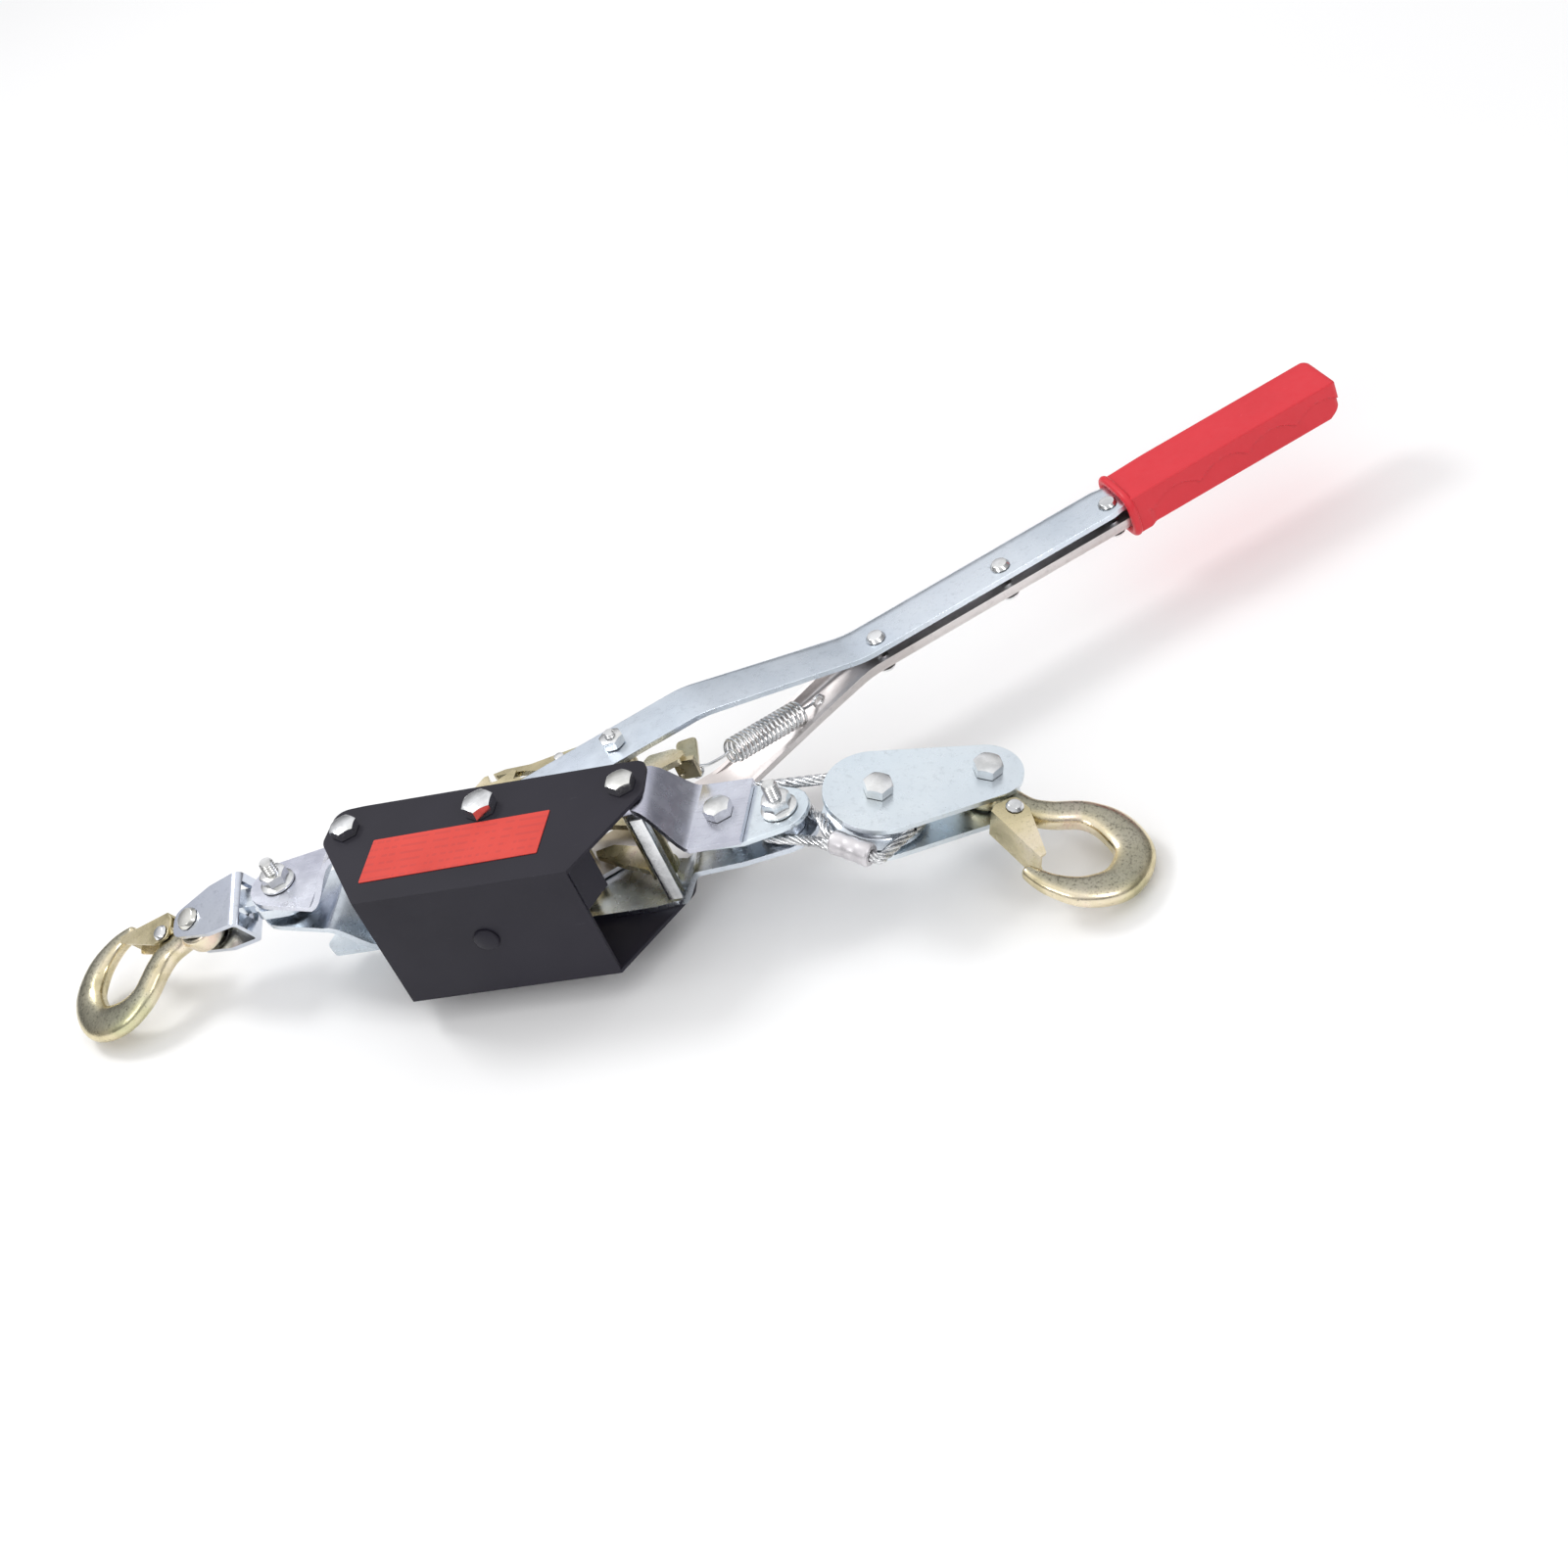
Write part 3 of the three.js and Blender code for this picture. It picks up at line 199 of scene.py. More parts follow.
def yellow_zinc(name, depth=1.0, flat_side=None):
    """Yellow passivated zinc: pale gold with pink and green patches. The side of a forging that
    faces flat_side is darker and pitted."""
    n = Nodes(name)
    cloud = n.noise(30, 4, rough=0.6, distortion=0.4)
    tones = [(0.3, (0.42, 0.37, 0.22)), (0.48, (0.74, 0.65, 0.42)), (0.64, (0.88, 0.78, 0.6)),
             (0.78, (0.86, 0.62, 0.54))]
    base = n.ramp(cloud, [(stop, tuple(v * depth for v in tone)) for stop, tone in tones])
    green = n.noise(21, 3)
    base = n.mix(n.ramp(green, [(0.54, 0.0), (0.72, 0.5)]), base, (0.5, 0.58, 0.34))
    specks = n.noise(640, 4, rough=0.85)
    pits = n.ramp(specks, [(0.32, 0.7), (0.4, 0.0)])
    if flat_side is not None:
        where = n.add("ShaderNodeTexCoord")
        facing = n.add("ShaderNodeVectorMath", operation="DOT_PRODUCT")
        facing.inputs[1].default_value = flat_side
        n.link(where.outputs["Normal"], facing.inputs[0])
        flat = n.ramp(facing.outputs["Value"], [(0.84, 0.0), (0.99, 1.0)])
        base = n.mix(n.mix(1.0, flat, (0.75, 0.75, 0.75), "MULTIPLY"), base, (0.3, 0.3, 0.25))
        coarse = n.ramp(specks, [(0.38, 0.7), (0.48, 0.0)])
        base = n.mix(n.mix(1.0, flat, coarse, "MULTIPLY"), base, (0.07, 0.065, 0.05))
    base = n.mix(pits, base, (0.1, 0.09, 0.06))
    roughness = n.ramp(n.noise(120, 3), [(0.3, 0.18), (0.75, 0.36)])
    return n.finish(base, roughness, 1.0, n.bump(specks, 0.25, 0.0002))


def bright_zinc(name):
    """Bright plated steel of the fasteners and the spring."""
    n = Nodes(name)
    cloud = n.noise(90, 4)
    base = n.ramp(cloud, [(0.32, (0.6, 0.61, 0.62)), (0.6, (0.88, 0.89, 0.9))])
    base = n.mix(n.ramp(n.noise(30, 2), [(0.5, 0.0), (0.75, 0.5)]), base, (0.74, 0.72, 0.62))
    fine = n.noise(700, 2)
    return n.finish(base, n.ramp(fine, [(0.3, 0.12), (0.7, 0.26)]), 1.0, n.bump(fine, 0.1, 0.0001))


def black_paint(name):
    """Satin black powder coat: faint orange peel, a little dust and a rubbed tone."""
    n = Nodes(name)
    base = n.ramp(n.noise(12, 3), [(0.3, (0.013, 0.012, 0.019)), (0.7, (0.021, 0.019, 0.029))])
    dust = n.ramp(n.noise(1600, 2, rough=0.8), [(0.7, 0.0), (0.76, 0.4)])
    base = n.mix(dust, base, (0.12, 0.115, 0.14))
    scuffs = n.ramp(n.noise(160, 3, (0.4, 1.6, 1), rough=0.8), [(0.68, 0.0), (0.78, 0.2)])
    base = n.mix(scuffs, base, (0.09, 0.085, 0.1))
    peel = n.noise(800, 2)
    roughness = n.ramp(n.noise(60, 3), [(0.3, 0.34), (0.7, 0.46)])
    return n.finish(base, roughness, 0.0, n.bump(peel, 0.1, 0.0001), 0.22)


def chipped_and_highlit_edge(name):
    """Painted edge worn through to bright steel in places. The bright steel also stands in
    as a painted highlight along every rounded edge and fold of the cover.
    """
    n = Nodes(name)
    worn = n.noise(260, 4, rough=0.85)
    base = n.ramp(worn, [(0.47, (0.012, 0.011, 0.017)), (0.53, (0.62, 0.62, 0.66))])
    return n.finish(base, n.ramp(n.noise(300, 2), [(0.3, 0.16), (0.7, 0.3)]), 0.15)


def label_film(name):
    """Coral printed film with faint rows of plain dashes and no lettering."""
    n = Nodes(name)
    base = n.ramp(n.noise(40, 3), [(0.3, (0.62, 0.055, 0.042)), (0.7, (0.7, 0.068, 0.052))])
    wave = n.add("ShaderNodeTexWave", wave_type="BANDS", bands_direction="Y")
    wave.inputs["Scale"].default_value = 62
    n.link(n.coords(), wave.inputs["Vector"])
    rows = n.ramp(wave.outputs["Fac"], [(0.7, 0.0), (0.8, 1.0)])
    dashes = n.ramp(n.noise(330, 1, (1, 0.1, 0.1)), [(0.42, 0.0), (0.48, 1.0)])
    ink = n.mix(1.0, rows, dashes, "MULTIPLY")
    base = n.mix(n.mix(1.0, ink, (0.3, 0.3, 0.3), "MULTIPLY"), base, (0.42, 0.05, 0.05))
    fine = n.noise(500, 2)
    roughness = n.ramp(fine, [(0.3, 0.44), (0.7, 0.54)])
    return n.finish(base, roughness, 0.0, n.bump(fine, 0.05, 0.0001), 0.25)


def red_plastic(name):
    """Soft moulded vinyl: even red, fine skin, faint mottling."""
    n = Nodes(name)
    base = n.ramp(n.noise(18, 4), [(0.3, (0.64, 0.016, 0.028)), (0.7, (0.74, 0.024, 0.04))])
    scuffs = n.ramp(n.noise(120, 4, rough=0.8), [(0.64, 0.0), (0.72, 0.3)])
    base = n.mix(scuffs, base, (0.82, 0.09, 0.11))
    fine = n.noise(1100, 3)
    roughness = n.ramp(n.noise(220, 3), [(0.3, 0.32), (0.7, 0.46)])
    return n.finish(base, roughness, 0.0, n.bump(fine, 0.12, 0.00015))


def rope_steel(name):
    """Drawn wire, greyer where it is rubbed."""
    n = Nodes(name)
    rubbed = n.noise(300, 4, rough=0.75)
    base = n.ramp(rubbed, [(0.34, (0.34, 0.34, 0.35)), (0.56, (0.82, 0.83, 0.84))])
    fine = n.noise(1500, 2)
    return n.finish(base, n.ramp(fine, [(0.3, 0.2), (0.7, 0.36)]), 1.0, n.bump(fine, 0.2, 0.0001))


def aluminium(name):
    """Dull pressed aluminium."""
    n = Nodes(name)
    base = n.ramp(n.noise(90, 4), [(0.3, (0.62, 0.6, 0.62)), (0.7, (0.8, 0.78, 0.8))])
    fine = n.noise(600, 3, (1, 1, 0.2))
    return n.finish(base, n.ramp(fine, [(0.3, 0.34), (0.7, 0.52)]), 0.85, n.bump(fine, 0.15, 0.0002))


ZINC = zinc("zinc_plate", (0.74, 0.79, 0.84), (0.54, 0.6, 0.66), (0.66, 0.7, 0.8))
STRAP = zinc("zinc_strap", (0.7, 0.72, 0.8), (0.48, 0.49, 0.58), (0.6, 0.58, 0.7),
             grain=(1, 9, 1), grain_scale=90)
BLUE = zinc("zinc_blue", (0.8, 0.86, 0.9), (0.7, 0.77, 0.83), (0.74, 0.84, 0.92),
            rough=(0.24, 0.38))
CLEVIS_ZINC = zinc("zinc_clevis", (0.68, 0.72, 0.8), (0.54, 0.57, 0.66), (0.58, 0.62, 0.78),
                   rough=(0.14, 0.26))
LEVER_ZINC = zinc("zinc_lever", (0.78, 0.84, 0.91), (0.66, 0.73, 0.81), (0.7, 0.77, 0.92),
                  rough=(0.24, 0.36), relief=0.03)
FAR_ZINC = zinc("zinc_lever_far", (0.8, 0.76, 0.75), (0.64, 0.6, 0.59), (0.72, 0.64, 0.6),
                rough=(0.34, 0.48), relief=0.03)
BRIGHT = bright_zinc("zinc_bright")
YELLOW = yellow_zinc("zinc_yellow")
PAWL_YELLOW = yellow_zinc("zinc_yellow_pawl", 0.75)
HOOK_FINISH = {"block": yellow_zinc("zinc_yellow_block_hook", 1.0, BLOCK.to_3x3().col[2]),
               "anchor": yellow_zinc("zinc_yellow_anchor_hook", 1.0, CLEVIS.to_3x3().col[2])}
BLACK = black_paint("cover_black")
# Bare-steel chips on the cover's rounded edges, which also paint a highlight along every edge and fold.
EDGE_CHIPS_AND_HIGHLIGHT = chipped_and_highlit_edge("cover_edge_chips_and_highlight")
LABEL = label_film("label_film")
RED = red_plastic("grip_red")
ROPE = rope_steel("rope_steel")
FERRULE = aluminium("ferrule_aluminium")


# ---- Mesh helpers ----
def placed(points, place):
    """Points of the frame `place`, given in the drum's frame."""
    return np.asarray(points, float) @ np.array(place.to_3x3()).T + np.array(place.translation)


def to_row(points, place):
    return (placed(points, place) + (0, 0, LIFT)) * MM


def clean_mesh(name, points, faces, near, check=False):
    """A mesh with points nearer than `near` joined and its faces turned outwards."""
    mesh = bpy.data.meshes.new(name)
    mesh.from_pydata(points, [], faces)
    if check:
        mesh.validate()
    bm = bmesh.new()
    bm.from_mesh(mesh)
    bmesh.ops.remove_doubles(bm, verts=bm.verts, dist=near)
    bmesh.ops.recalc_face_normals(bm, faces=bm.faces)
    bm.to_mesh(mesh)
    bm.free()
    return mesh


def scratch_object(name, points, faces, near):
    """An object to work a shape out with, which taken_out removes."""
    obj = bpy.data.objects.new(name, clean_mesh(name, points, faces, near))
    bpy.context.scene.collection.objects.link(obj)
    return obj


def taken_out(obj, *helpers):
    """Points and faces of a scratch object as its modifiers leave it."""
    ready = obj.evaluated_get(bpy.context.evaluated_depsgraph_get())
    out = bpy.data.meshes.new_from_object(ready)
    points = [tuple(v.co) for v in out.vertices]
    faces = [tuple(p.vertices) for p in out.polygons]
    for used in (obj, *helpers):
        bpy.data.objects.remove(used)
    return points, faces


def piece(name, points, faces, body, slot, material, place=WORLD, stands_for=(), smooth=40):
    """A new piece from millimetre points in the frame `place`. A piece with no body is attached to none,
    as for those that run between two. Edges sharper than `smooth` degrees stay sharp; 0 rounds them all."""
    row_points = [tuple(p) for p in to_row(points, place)]
    mesh = clean_mesh(name, row_points, [tuple(f) for f in faces], 1e-7, check=True)
    mesh.materials.append(material)
    mesh.shade_smooth()
    if smooth:
        mesh.set_sharp_from_angle(angle=math.radians(smooth))
    obj = bpy.data.objects.new(name, mesh)
    bpy.context.scene.collection.objects.link(obj)
    if body:
        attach(obj, body)
    if stands_for:
        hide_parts(*stands_for)
    return obj


def turn(i, count):
    """Angle of the i-th of count even steps round a circle."""
    return 2 * math.pi * i / count


def signed_power(x, power):
    """Bends a cosine or sine so that an oval drawn with it grows squarer as power falls."""
    return math.copysign(abs(x) ** power, x)


def sweep_mesh(rings, closed_loop=False):
    """Points and faces of a skin over equal rings of points, with its two ends closed."""
    count = len(rings[0])
    points = [p for ring in rings for p in ring]
    faces = []
    total = len(rings)
    for i in range(total if closed_loop else total - 1):
        a = i * count
        b = ((i + 1) % total) * count
        for j in range(count):
            k = (j + 1) % count
            faces.append((a + j, a + k, b + k, b + j))
    if not closed_loop:
        faces.append(tuple(range(count)))
        faces.append(tuple((total - 1) * count + j for j in reversed(range(count))))
    return points, faces


def lathe(profile, sides=48):
    """Skin of a profile of (radius, height) turned about Z; end radii of 0 close it."""
    points = []
    for i in range(sides):
        a = turn(i, sides)
        points += [(r * math.cos(a), r * math.sin(a), z) for r, z in profile]
    faces = []
    count = len(profile)
    for i in range(sides):
        a = i * count
        b = ((i + 1) % sides) * count
        for j in range(count - 1):
            quad = (a + j, a + j + 1, b + j + 1, b + j)
            if profile[j][0] == 0:
                quad = (a + j, a + j + 1, b + j + 1)
            elif profile[j + 1][0] == 0:
                quad = (a + j, a + j + 1, b + j)
            faces.append(quad)
    return points, faces


def merge(*parts):
    """Several parts' points and faces as one part's."""
    points = []
    faces = []
    for p, f in parts:
        base = len(points)
        points.extend(p)
        faces.extend(tuple(base + i for i in face) for face in f)
    return points, faces


def moved(part, matrix):
    points, faces = part
    return [tuple(p) for p in placed(points, matrix)], faces


# ---- Routes ----
def distances(route):
    """Distance run at each point of a route."""
    return np.concatenate([[0], np.cumsum(np.linalg.norm(np.diff(route, axis=0), axis=1))])


def tangents(route):
    tangent = np.gradient(route, axis=0)
    return tangent / np.linalg.norm(tangent, axis=1)[:, None]


def smooth_route(points, step):
    """Even points along a centripetal curve through the given points."""
    p = np.asarray(points, float)
    p = np.vstack([2 * p[0] - p[1], p, 2 * p[-1] - p[-2]])
    out = []
    for i in range(1, len(p) - 2):
        p0, p1, p2, p3 = p[i - 1:i + 3]
        t1 = math.sqrt(np.linalg.norm(p1 - p0))
        t2 = t1 + math.sqrt(np.linalg.norm(p2 - p1))
        t3 = t2 + math.sqrt(np.linalg.norm(p3 - p2))
        for t in np.linspace(t1, t2, 24, endpoint=False):
            a1 = (t1 - t) / t1 * p0 + t / t1 * p1
            a2 = (t2 - t) / (t2 - t1) * p1 + (t - t1) / (t2 - t1) * p2
            a3 = (t3 - t) / (t3 - t2) * p2 + (t - t2) / (t3 - t2) * p3
            b1 = (t2 - t) / t2 * a1 + t / t2 * a2
            b2 = (t3 - t) / (t3 - t1) * a2 + (t - t1) / (t3 - t1) * a3
            out.append((t2 - t) / (t2 - t1) * b1 + (t - t1) / (t2 - t1) * b2)
    out.append(p[-2])
    out = np.array(out)
    run = distances(out)
    count = max(int(run[-1] / step), 3)
    where = np.linspace(0, run[-1], count + 1)
    return np.stack([np.interp(where, run, out[:, k]) for k in range(3)], 1)


def carried_frames(route):
    """Two directions across the route at each point, carried along without twist."""
    tangent = tangents(route)
    first = np.cross(tangent[0], (0.3, 0.2, 1.0))
    first /= np.linalg.norm(first)
    sides = [first]
    for t in tangent[1:]:
        s = sides[-1] - np.dot(sides[-1], t) * t
        sides.append(s / np.linalg.norm(s))
    sides = np.array(sides)
    return sides, np.cross(tangent, sides)


def wire(route, radius, sides):
    """Round wire along a route."""
    u, v = carried_frames(np.asarray(route, float))
    rings = []
    for i, centre in enumerate(route):
        ring = []
        for j in range(sides):
            a = turn(j, sides)
            ring.append(tuple(centre + radius * (math.cos(a) * u[i] + math.sin(a) * v[i])))
        rings.append(ring)
    return sweep_mesh(rings)


ROPE_LAY = 34.0
WIRE_LAY = 11
WIRE_RIDGE = 0.08


def strands(route, diameter, sides=14, lobes=6):
    """Six twisted strands along a route, each with the ridges of its outer wires."""
    route = np.asarray(route, float)
    u, v = carried_frames(route)
    run = distances(route)
    centre_r = diameter / 3
    strand_r = diameter / 6 * 1.03
    parts = []
    for strand in range(6):
        a = 2 * math.pi * (run / ROPE_LAY) + strand * math.pi / 3
        centres = route + centre_r * (np.cos(a)[:, None] * u + np.sin(a)[:, None] * v)
        su, sv = carried_frames(centres)
        rings = []
        for i, c in enumerate(centres):
            spin = 2 * math.pi * run[i] / WIRE_LAY
            ring = []
            for j in range(sides):
                b = turn(j, sides)
                r = strand_r * (1 + (WIRE_RIDGE * math.cos(lobes * (b - spin)) if lobes else 0))
                ring.append(tuple(c + r * (math.cos(b) * su[i] + math.sin(b) * sv[i])))
            rings.append(ring)
        parts.append(sweep_mesh(rings))
    parts.append(wire(route, diameter / 6, 6))
    return merge(*parts)


# ---- Carried-over CAD nodes: finish, rounded edges ----
EDGE_ANGLE = math.radians(32)


def dress(node, material, edge, chips_and_highlight=None):
    """Give a CAD node its finish and rounded edges, with an optional second finish for those edges:
    bare-steel chips that also paint a highlight along them.
    """
    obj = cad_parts[node]
    if not obj.material_slots:
        obj.data.materials.append(material)
    for slot in obj.material_slots:
        slot.material = material
    if edge:
        weld = obj.modifiers.new("weld", "WELD")
        weld.merge_threshold = 1e-6
        bevel = obj.modifiers.new("edge", "BEVEL")
        bevel.width = edge * MM
        bevel.segments = 2
        bevel.limit_method = "ANGLE"
        bevel.angle_limit = EDGE_ANGLE
        # The second finish on the bevel faces: real chips, and a painted highlight along the edges.
        if chips_and_highlight:
            obj.data.materials.append(chips_and_highlight)
            bevel.material = len(obj.material_slots) - 1
        flat = obj.modifiers.new("flat", "WEIGHTED_NORMAL")
        flat.keep_sharp = True
        flat.weight = 90
    obj.data.shade_smooth()
    obj.data.set_sharp_from_angle(angle=EDGE_ANGLE)


# Each finish's nodes, with the size of their rounded edges.
CARRIED = {
    ZINC: [("tail_spacer", 0.4), ("anchor_thimble", 0.3), ("cable_drum", 0.5),
           ("hook_bush", 0.3), ("side_plate_lower", 0.6), ("tail_link", 0.8)],
    STRAP: [("side_plate_upper", 0.6)],
    BLUE: [("block_plate_near", 0.7), ("block_plate_far", 0.7), ("neck_link_plate", 0.6),
           ("tail_tab", 0.6)],
    CLEVIS_ZINC: [("clevis", 0.8)],
    YELLOW: [("ratchet_wheel_upper", 0.35), ("ratchet_wheel_lower", 0.35), ("block_latch", 0.4),
             ("anchor_latch", 0.4)],
    PAWL_YELLOW: [("drive_pawl", 0.5), ("holding_pawl", 0.5)],
    BRIGHT: [("tie_plate", 0.8), ("lever_rivet_1", 0.2), ("lever_rivet_2", 0.2),
             ("lever_rivet_3", 0.2), ("drive_pawl_rivet", 0.2), ("block_latch_rivet", 0.2),
             ("anchor_latch_rivet", 0.2), ("clevis_pin", 0.3)],
    BLACK: [("cover", 1.0), ("cover_rivet", 0.3)],
    LABEL: [("label", 0.0)],
}
for finish, entries in CARRIED.items():
    for node, edge in entries:
        dress(node, finish, edge, EDGE_CHIPS_AND_HIGHLIGHT if node == "cover" else None)


# ---- Fasteners ----
def hexagon(across, z0, z1, low=False, high=True):
    """A hexagon whose chamfered ends are cut by a cone, as arcs on each flat."""
    apothem = across / 2
    rings = []
    count = 60
    cone_slope = 0.6
    for z_end, outward, chamfer in ((z0, -1, low), (z1, 1, high)):
        edge = []
        flat = []
        for i in range(count):
            a = turn(i, count)
            local = (a + math.pi / 6) % (math.pi / 3) - math.pi / 6
            rim = apothem / math.cos(local)
            fall = (rim - apothem * 0.97) * cone_slope if chamfer else 0.0
            edge.append((rim * math.cos(a), rim * math.sin(a), z_end - outward * fall))
            flat_r = apothem * 0.95 if chamfer else rim
            flat.append((flat_r * math.cos(a), flat_r * math.sin(a), z_end))
        rings.append((edge, flat))
    (low_edge, low_flat), (high_edge, high_flat) = rings
    return sweep_mesh([low_flat, low_edge, high_edge, high_flat])


def thread(r, z0, z1):
    """A threaded end: a screw surface with a coned tip at z1."""
    pitch = 1.5
    depth = 0.6
    tip_length = pitch * 0.7
    sides = 40
    length = abs(z1 - z0)
    sign = 1 if z1 > z0 else -1
    rows = int(length / pitch * 6) + 1
    rings = []
    for i in range(rows + 1):
        z = i / rows * length
        ring = []
        for j in range(sides):
            a = turn(j, sides)
            ridge = abs((z / pitch - j / sides) % 1.0 - 0.5) * 2
            rr = r - depth * (1 - ridge)
            tip = length - z
            if tip < tip_length:
                rr = min(rr, r - (tip_length - tip) * 0.9)
            ring.append((rr * math.cos(a), rr * math.sin(a), z0 + sign * z))
        rings.append(ring)
    return sweep_mesh(rings)


def bolt(name, node, body, place, r, across, under_head, head, thread_start, end):
    """Hex bolt with its head rising from under_head and its thread running down to end."""
    shank = lathe([(0, under_head), (r, under_head), (r, thread_start), (0, thread_start)], 40)
    parts = [hexagon(across, under_head, under_head + head), shank, thread(r, thread_start, end)]
    return piece(name, *merge(*parts), body, "bright_zinc", BRIGHT, place, (node,), 32)


def nut(name, node, body, place, r, across, low, high, flange=None):
    """Hex nut; flange is the radius of the round foot that some of them stand on."""
    parts = [hexagon(across, low + (1 if flange else 0), high, not flange)]
    if flange:
        parts.append(lathe([(r, low), (flange - 0.2, low), (flange, low + 0.5),
                            (flange - 0.1, low + 1.1), (across * 0.52, low + 2.2), (r, low + 2.3)]))
    for z, s in ((high, 1), (low, -1)):
        parts.append(lathe([(r + 0.9, z + s * 0.02), (r - 0.2, z - s * 0.9)], 40))
    return piece(name, *merge(*parts), body, "bright_zinc", BRIGHT, place, (node,), 32)


def at(x, y=0.0, z=0.0):
    return Matrix.Translation((x, y, z))


# Heights of the faces that heads and nuts sit on, either side of the middle plane.
BODY_TOP = 35.95 + 0.35
BODY_LOW = -36.3
NECK = 9.65
BLOCK_FACE = 10.85

bolt("axle_bolt_detail", "axle_bolt", "frame", WORLD, 5, 15, BODY_TOP, 6.5, 20, -48.4)
nut("axle_nut_detail", "axle_nut", "frame", WORLD, 5, 15, -45.7, BODY_LOW)
for tag, x, low in (("cover_tail", COVER_TAIL_X, 3.35), ("pawl_pivot", PAWL_PIVOT_X, 0)):
    bolt(f"{tag}_bolt_detail", f"{tag}_bolt", "frame", at(x), 4, 13, BODY_TOP, 5.2, 10, -44.4 - low)
    nut(f"{tag}_nut_detail", f"{tag}_nut", "frame", at(x), 4, 13, -42.7 - low, BODY_LOW - low)
bolt("strap_bolt_detail", "strap_bolt", "frame", at(STRAP_X), 4, 13, NECK, 5.5, 0, -24)
nut("strap_nut_detail", "strap_nut", "frame", at(STRAP_X), 4, 13, -16.1, -NECK)
bolt("anchor_bolt_detail", "anchor_bolt", "frame", at(ANCHOR_X) @ FLIP, 4, 13, NECK, 5.5, 0, -23.2)
nut("anchor_nut_detail", "anchor_nut", "frame", at(ANCHOR_X), 4, 13, 6.4, 14.2, 9.3)
bolt("tail_bolt_detail", "tail_bolt", "frame", at(TAIL_X) @ FLIP, 4, 13, NECK, 5.5, 0, -25.2)
nut("tail_nut_detail", "tail_nut", "frame", at(TAIL_X), 4, 13, 9.7, 17.5, 9.3)
PAWL_AT = LEVER @ at(DRIVE_PAWL_U)
bolt("drive_pawl_bolt_detail", "drive_pawl_bolt", "lever", PAWL_AT @ FLIP, 3, 11, 30.4, 4.5, 0, -38.8)
nut("drive_pawl_nut_detail", "drive_pawl_nut", "lever", PAWL_AT, 3, 11, 30.5, 35.8)
for tag, x in (("sheave_bolt", 0), ("hook_bolt", BLOCK_LENGTH)):
    bolt(f"{tag}_detail", tag, "block", BLOCK @ at(x), 4, 13, BLOCK_FACE, 5.4, 0, -20.4)
    nut(f"{tag}_nut_detail", f"{tag}_nut", "block", BLOCK @ at(x), 4, 13, -17.3, -BLOCK_FACE)


# ---- Lever arms ----
ARM_SHEET = 3.0
BLADE_TOP = 30.05
ARM_TOP = 8.5
SPLAY_START = 118
SPLAY_END = 204
BLADE_HALF = 14


def between(x, table):
    """Value at x of a broken line given as (x, value) pairs."""
    return float(np.interp(x, [p[0] for p in table], [p[1] for p in table]))


def arm_top(u):
    """Height of an arm's outer face: fork blade, splay and riveted stretch, with eased bends."""
    line = [(SPLAY_START, BLADE_TOP), (SPLAY_END, ARM_TOP)]
    return sum(between(u + shift, line) for shift in range(-6, 7)) / 13


def arm_section(half, top, low_depth, high_depth, across, drop, low_round):
    """Outline of a pressed arm: flat face, an eased shoulder on the high side, optional low flange."""
    t = ARM_SHEET
    steps = 9
    quarter = [math.pi / 2 * k / (steps - 1) for k in range(steps)]

    def arc(v, z, rv, rz):
        return [(v + rv * math.cos(a), z + rz * math.sin(a)) for a in quarter]

    out = [(half, top - high_depth), *arc(half - across, top - drop, across, drop)]
    out += [(-half + low_round - low_round * math.sin(a), top - low_round + low_round * math.cos(a))
            for a in quarter]
    out.append((-half, top - low_depth))
    if low_depth > t + 0.05:
        r = max(low_round - t, 0.4)
        out += [(-half + t, top - low_depth), *arc(-half + t + r, top - t - r, -r, r)]
    else:
        out += [(-half + 0.2 * (k + 1), top - t) for k in range(steps + 1)]
    if high_depth > t + 0.05:
        rx = max(across - t, 0.4)
        rz = max(min(drop, high_depth - t - 0.02) - 0.8, 0.02)
        out += [(half - t - rx + rx * math.sin(a), top - t - rz + rz * math.cos(a)) for a in quarter]
        out.append((half - t, top - high_depth))
    else:
        out += [(half - 0.2 * (steps + 1 - k), top - t) for k in range(steps + 1)]
    return out


def arm_mesh(near):
    """One arm along u, drawn with its outer face up."""
    stations = [-1 - BLADE_HALF * math.cos(math.radians(a)) for a in (3, 12, 22, 32, 44, 56, 68, 80, 90)]
    stations += [20, 50, 90, 108, *range(111, 126, 2), *range(130, 198, 8), *range(197, 213, 2)]
    stations += [*range(220, 350, 13), 350, 352, 355, 357, 362, 420, 479]
    side = 13.8 if near else 12.5
    rings = []
    for u in stations:
        half = between(u, [(112, BLADE_HALF), (170, side), (352, side), (357, 12.5)])
        if u < -1:
            half = math.sqrt(max(BLADE_HALF ** 2 - (u + 1) ** 2, 0.04))
        grown = between(u, [(112, 0), (124, 0.22), (208, 1)])
        low_depth = ARM_SHEET + grown * (0 if near else 5.2)
        high_depth = ARM_SHEET + grown * (2.5 if near else 8.2)
        across = min(0.8 + grown * (7.7 if near else 5.2), half * 0.5)
        drop = 0.6 + grown * (1.9 if near else 5.4)
        low_round = min(0.35 if near else 0.7 + grown * 5.3, half * 0.5)
        section = arm_section(half, arm_top(u), low_depth, high_depth, across, drop, low_round)
        rings.append([(u, v, z) for v, z in section])
    return sweep_mesh(rings)


def drilled(name, part, drills):
    """Cut round holes of (radius, u, v) through a part."""
    bores = [moved(lathe([(0, -60), (r, -60), (r, 60), (0, 60)], 32), at(u, v)) for r, u, v in drills]
    body = scratch_object(f"{name}_body", *part, 1e-4)
    tool = scratch_object(f"{name}_drills", *merge(*bores), 1e-4)
    boolean = body.modifiers.new("drill", "BOOLEAN")
    boolean.operation = "DIFFERENCE"
    boolean.solver = "EXACT"
    boolean.object = tool
    return taken_out(body, tool)


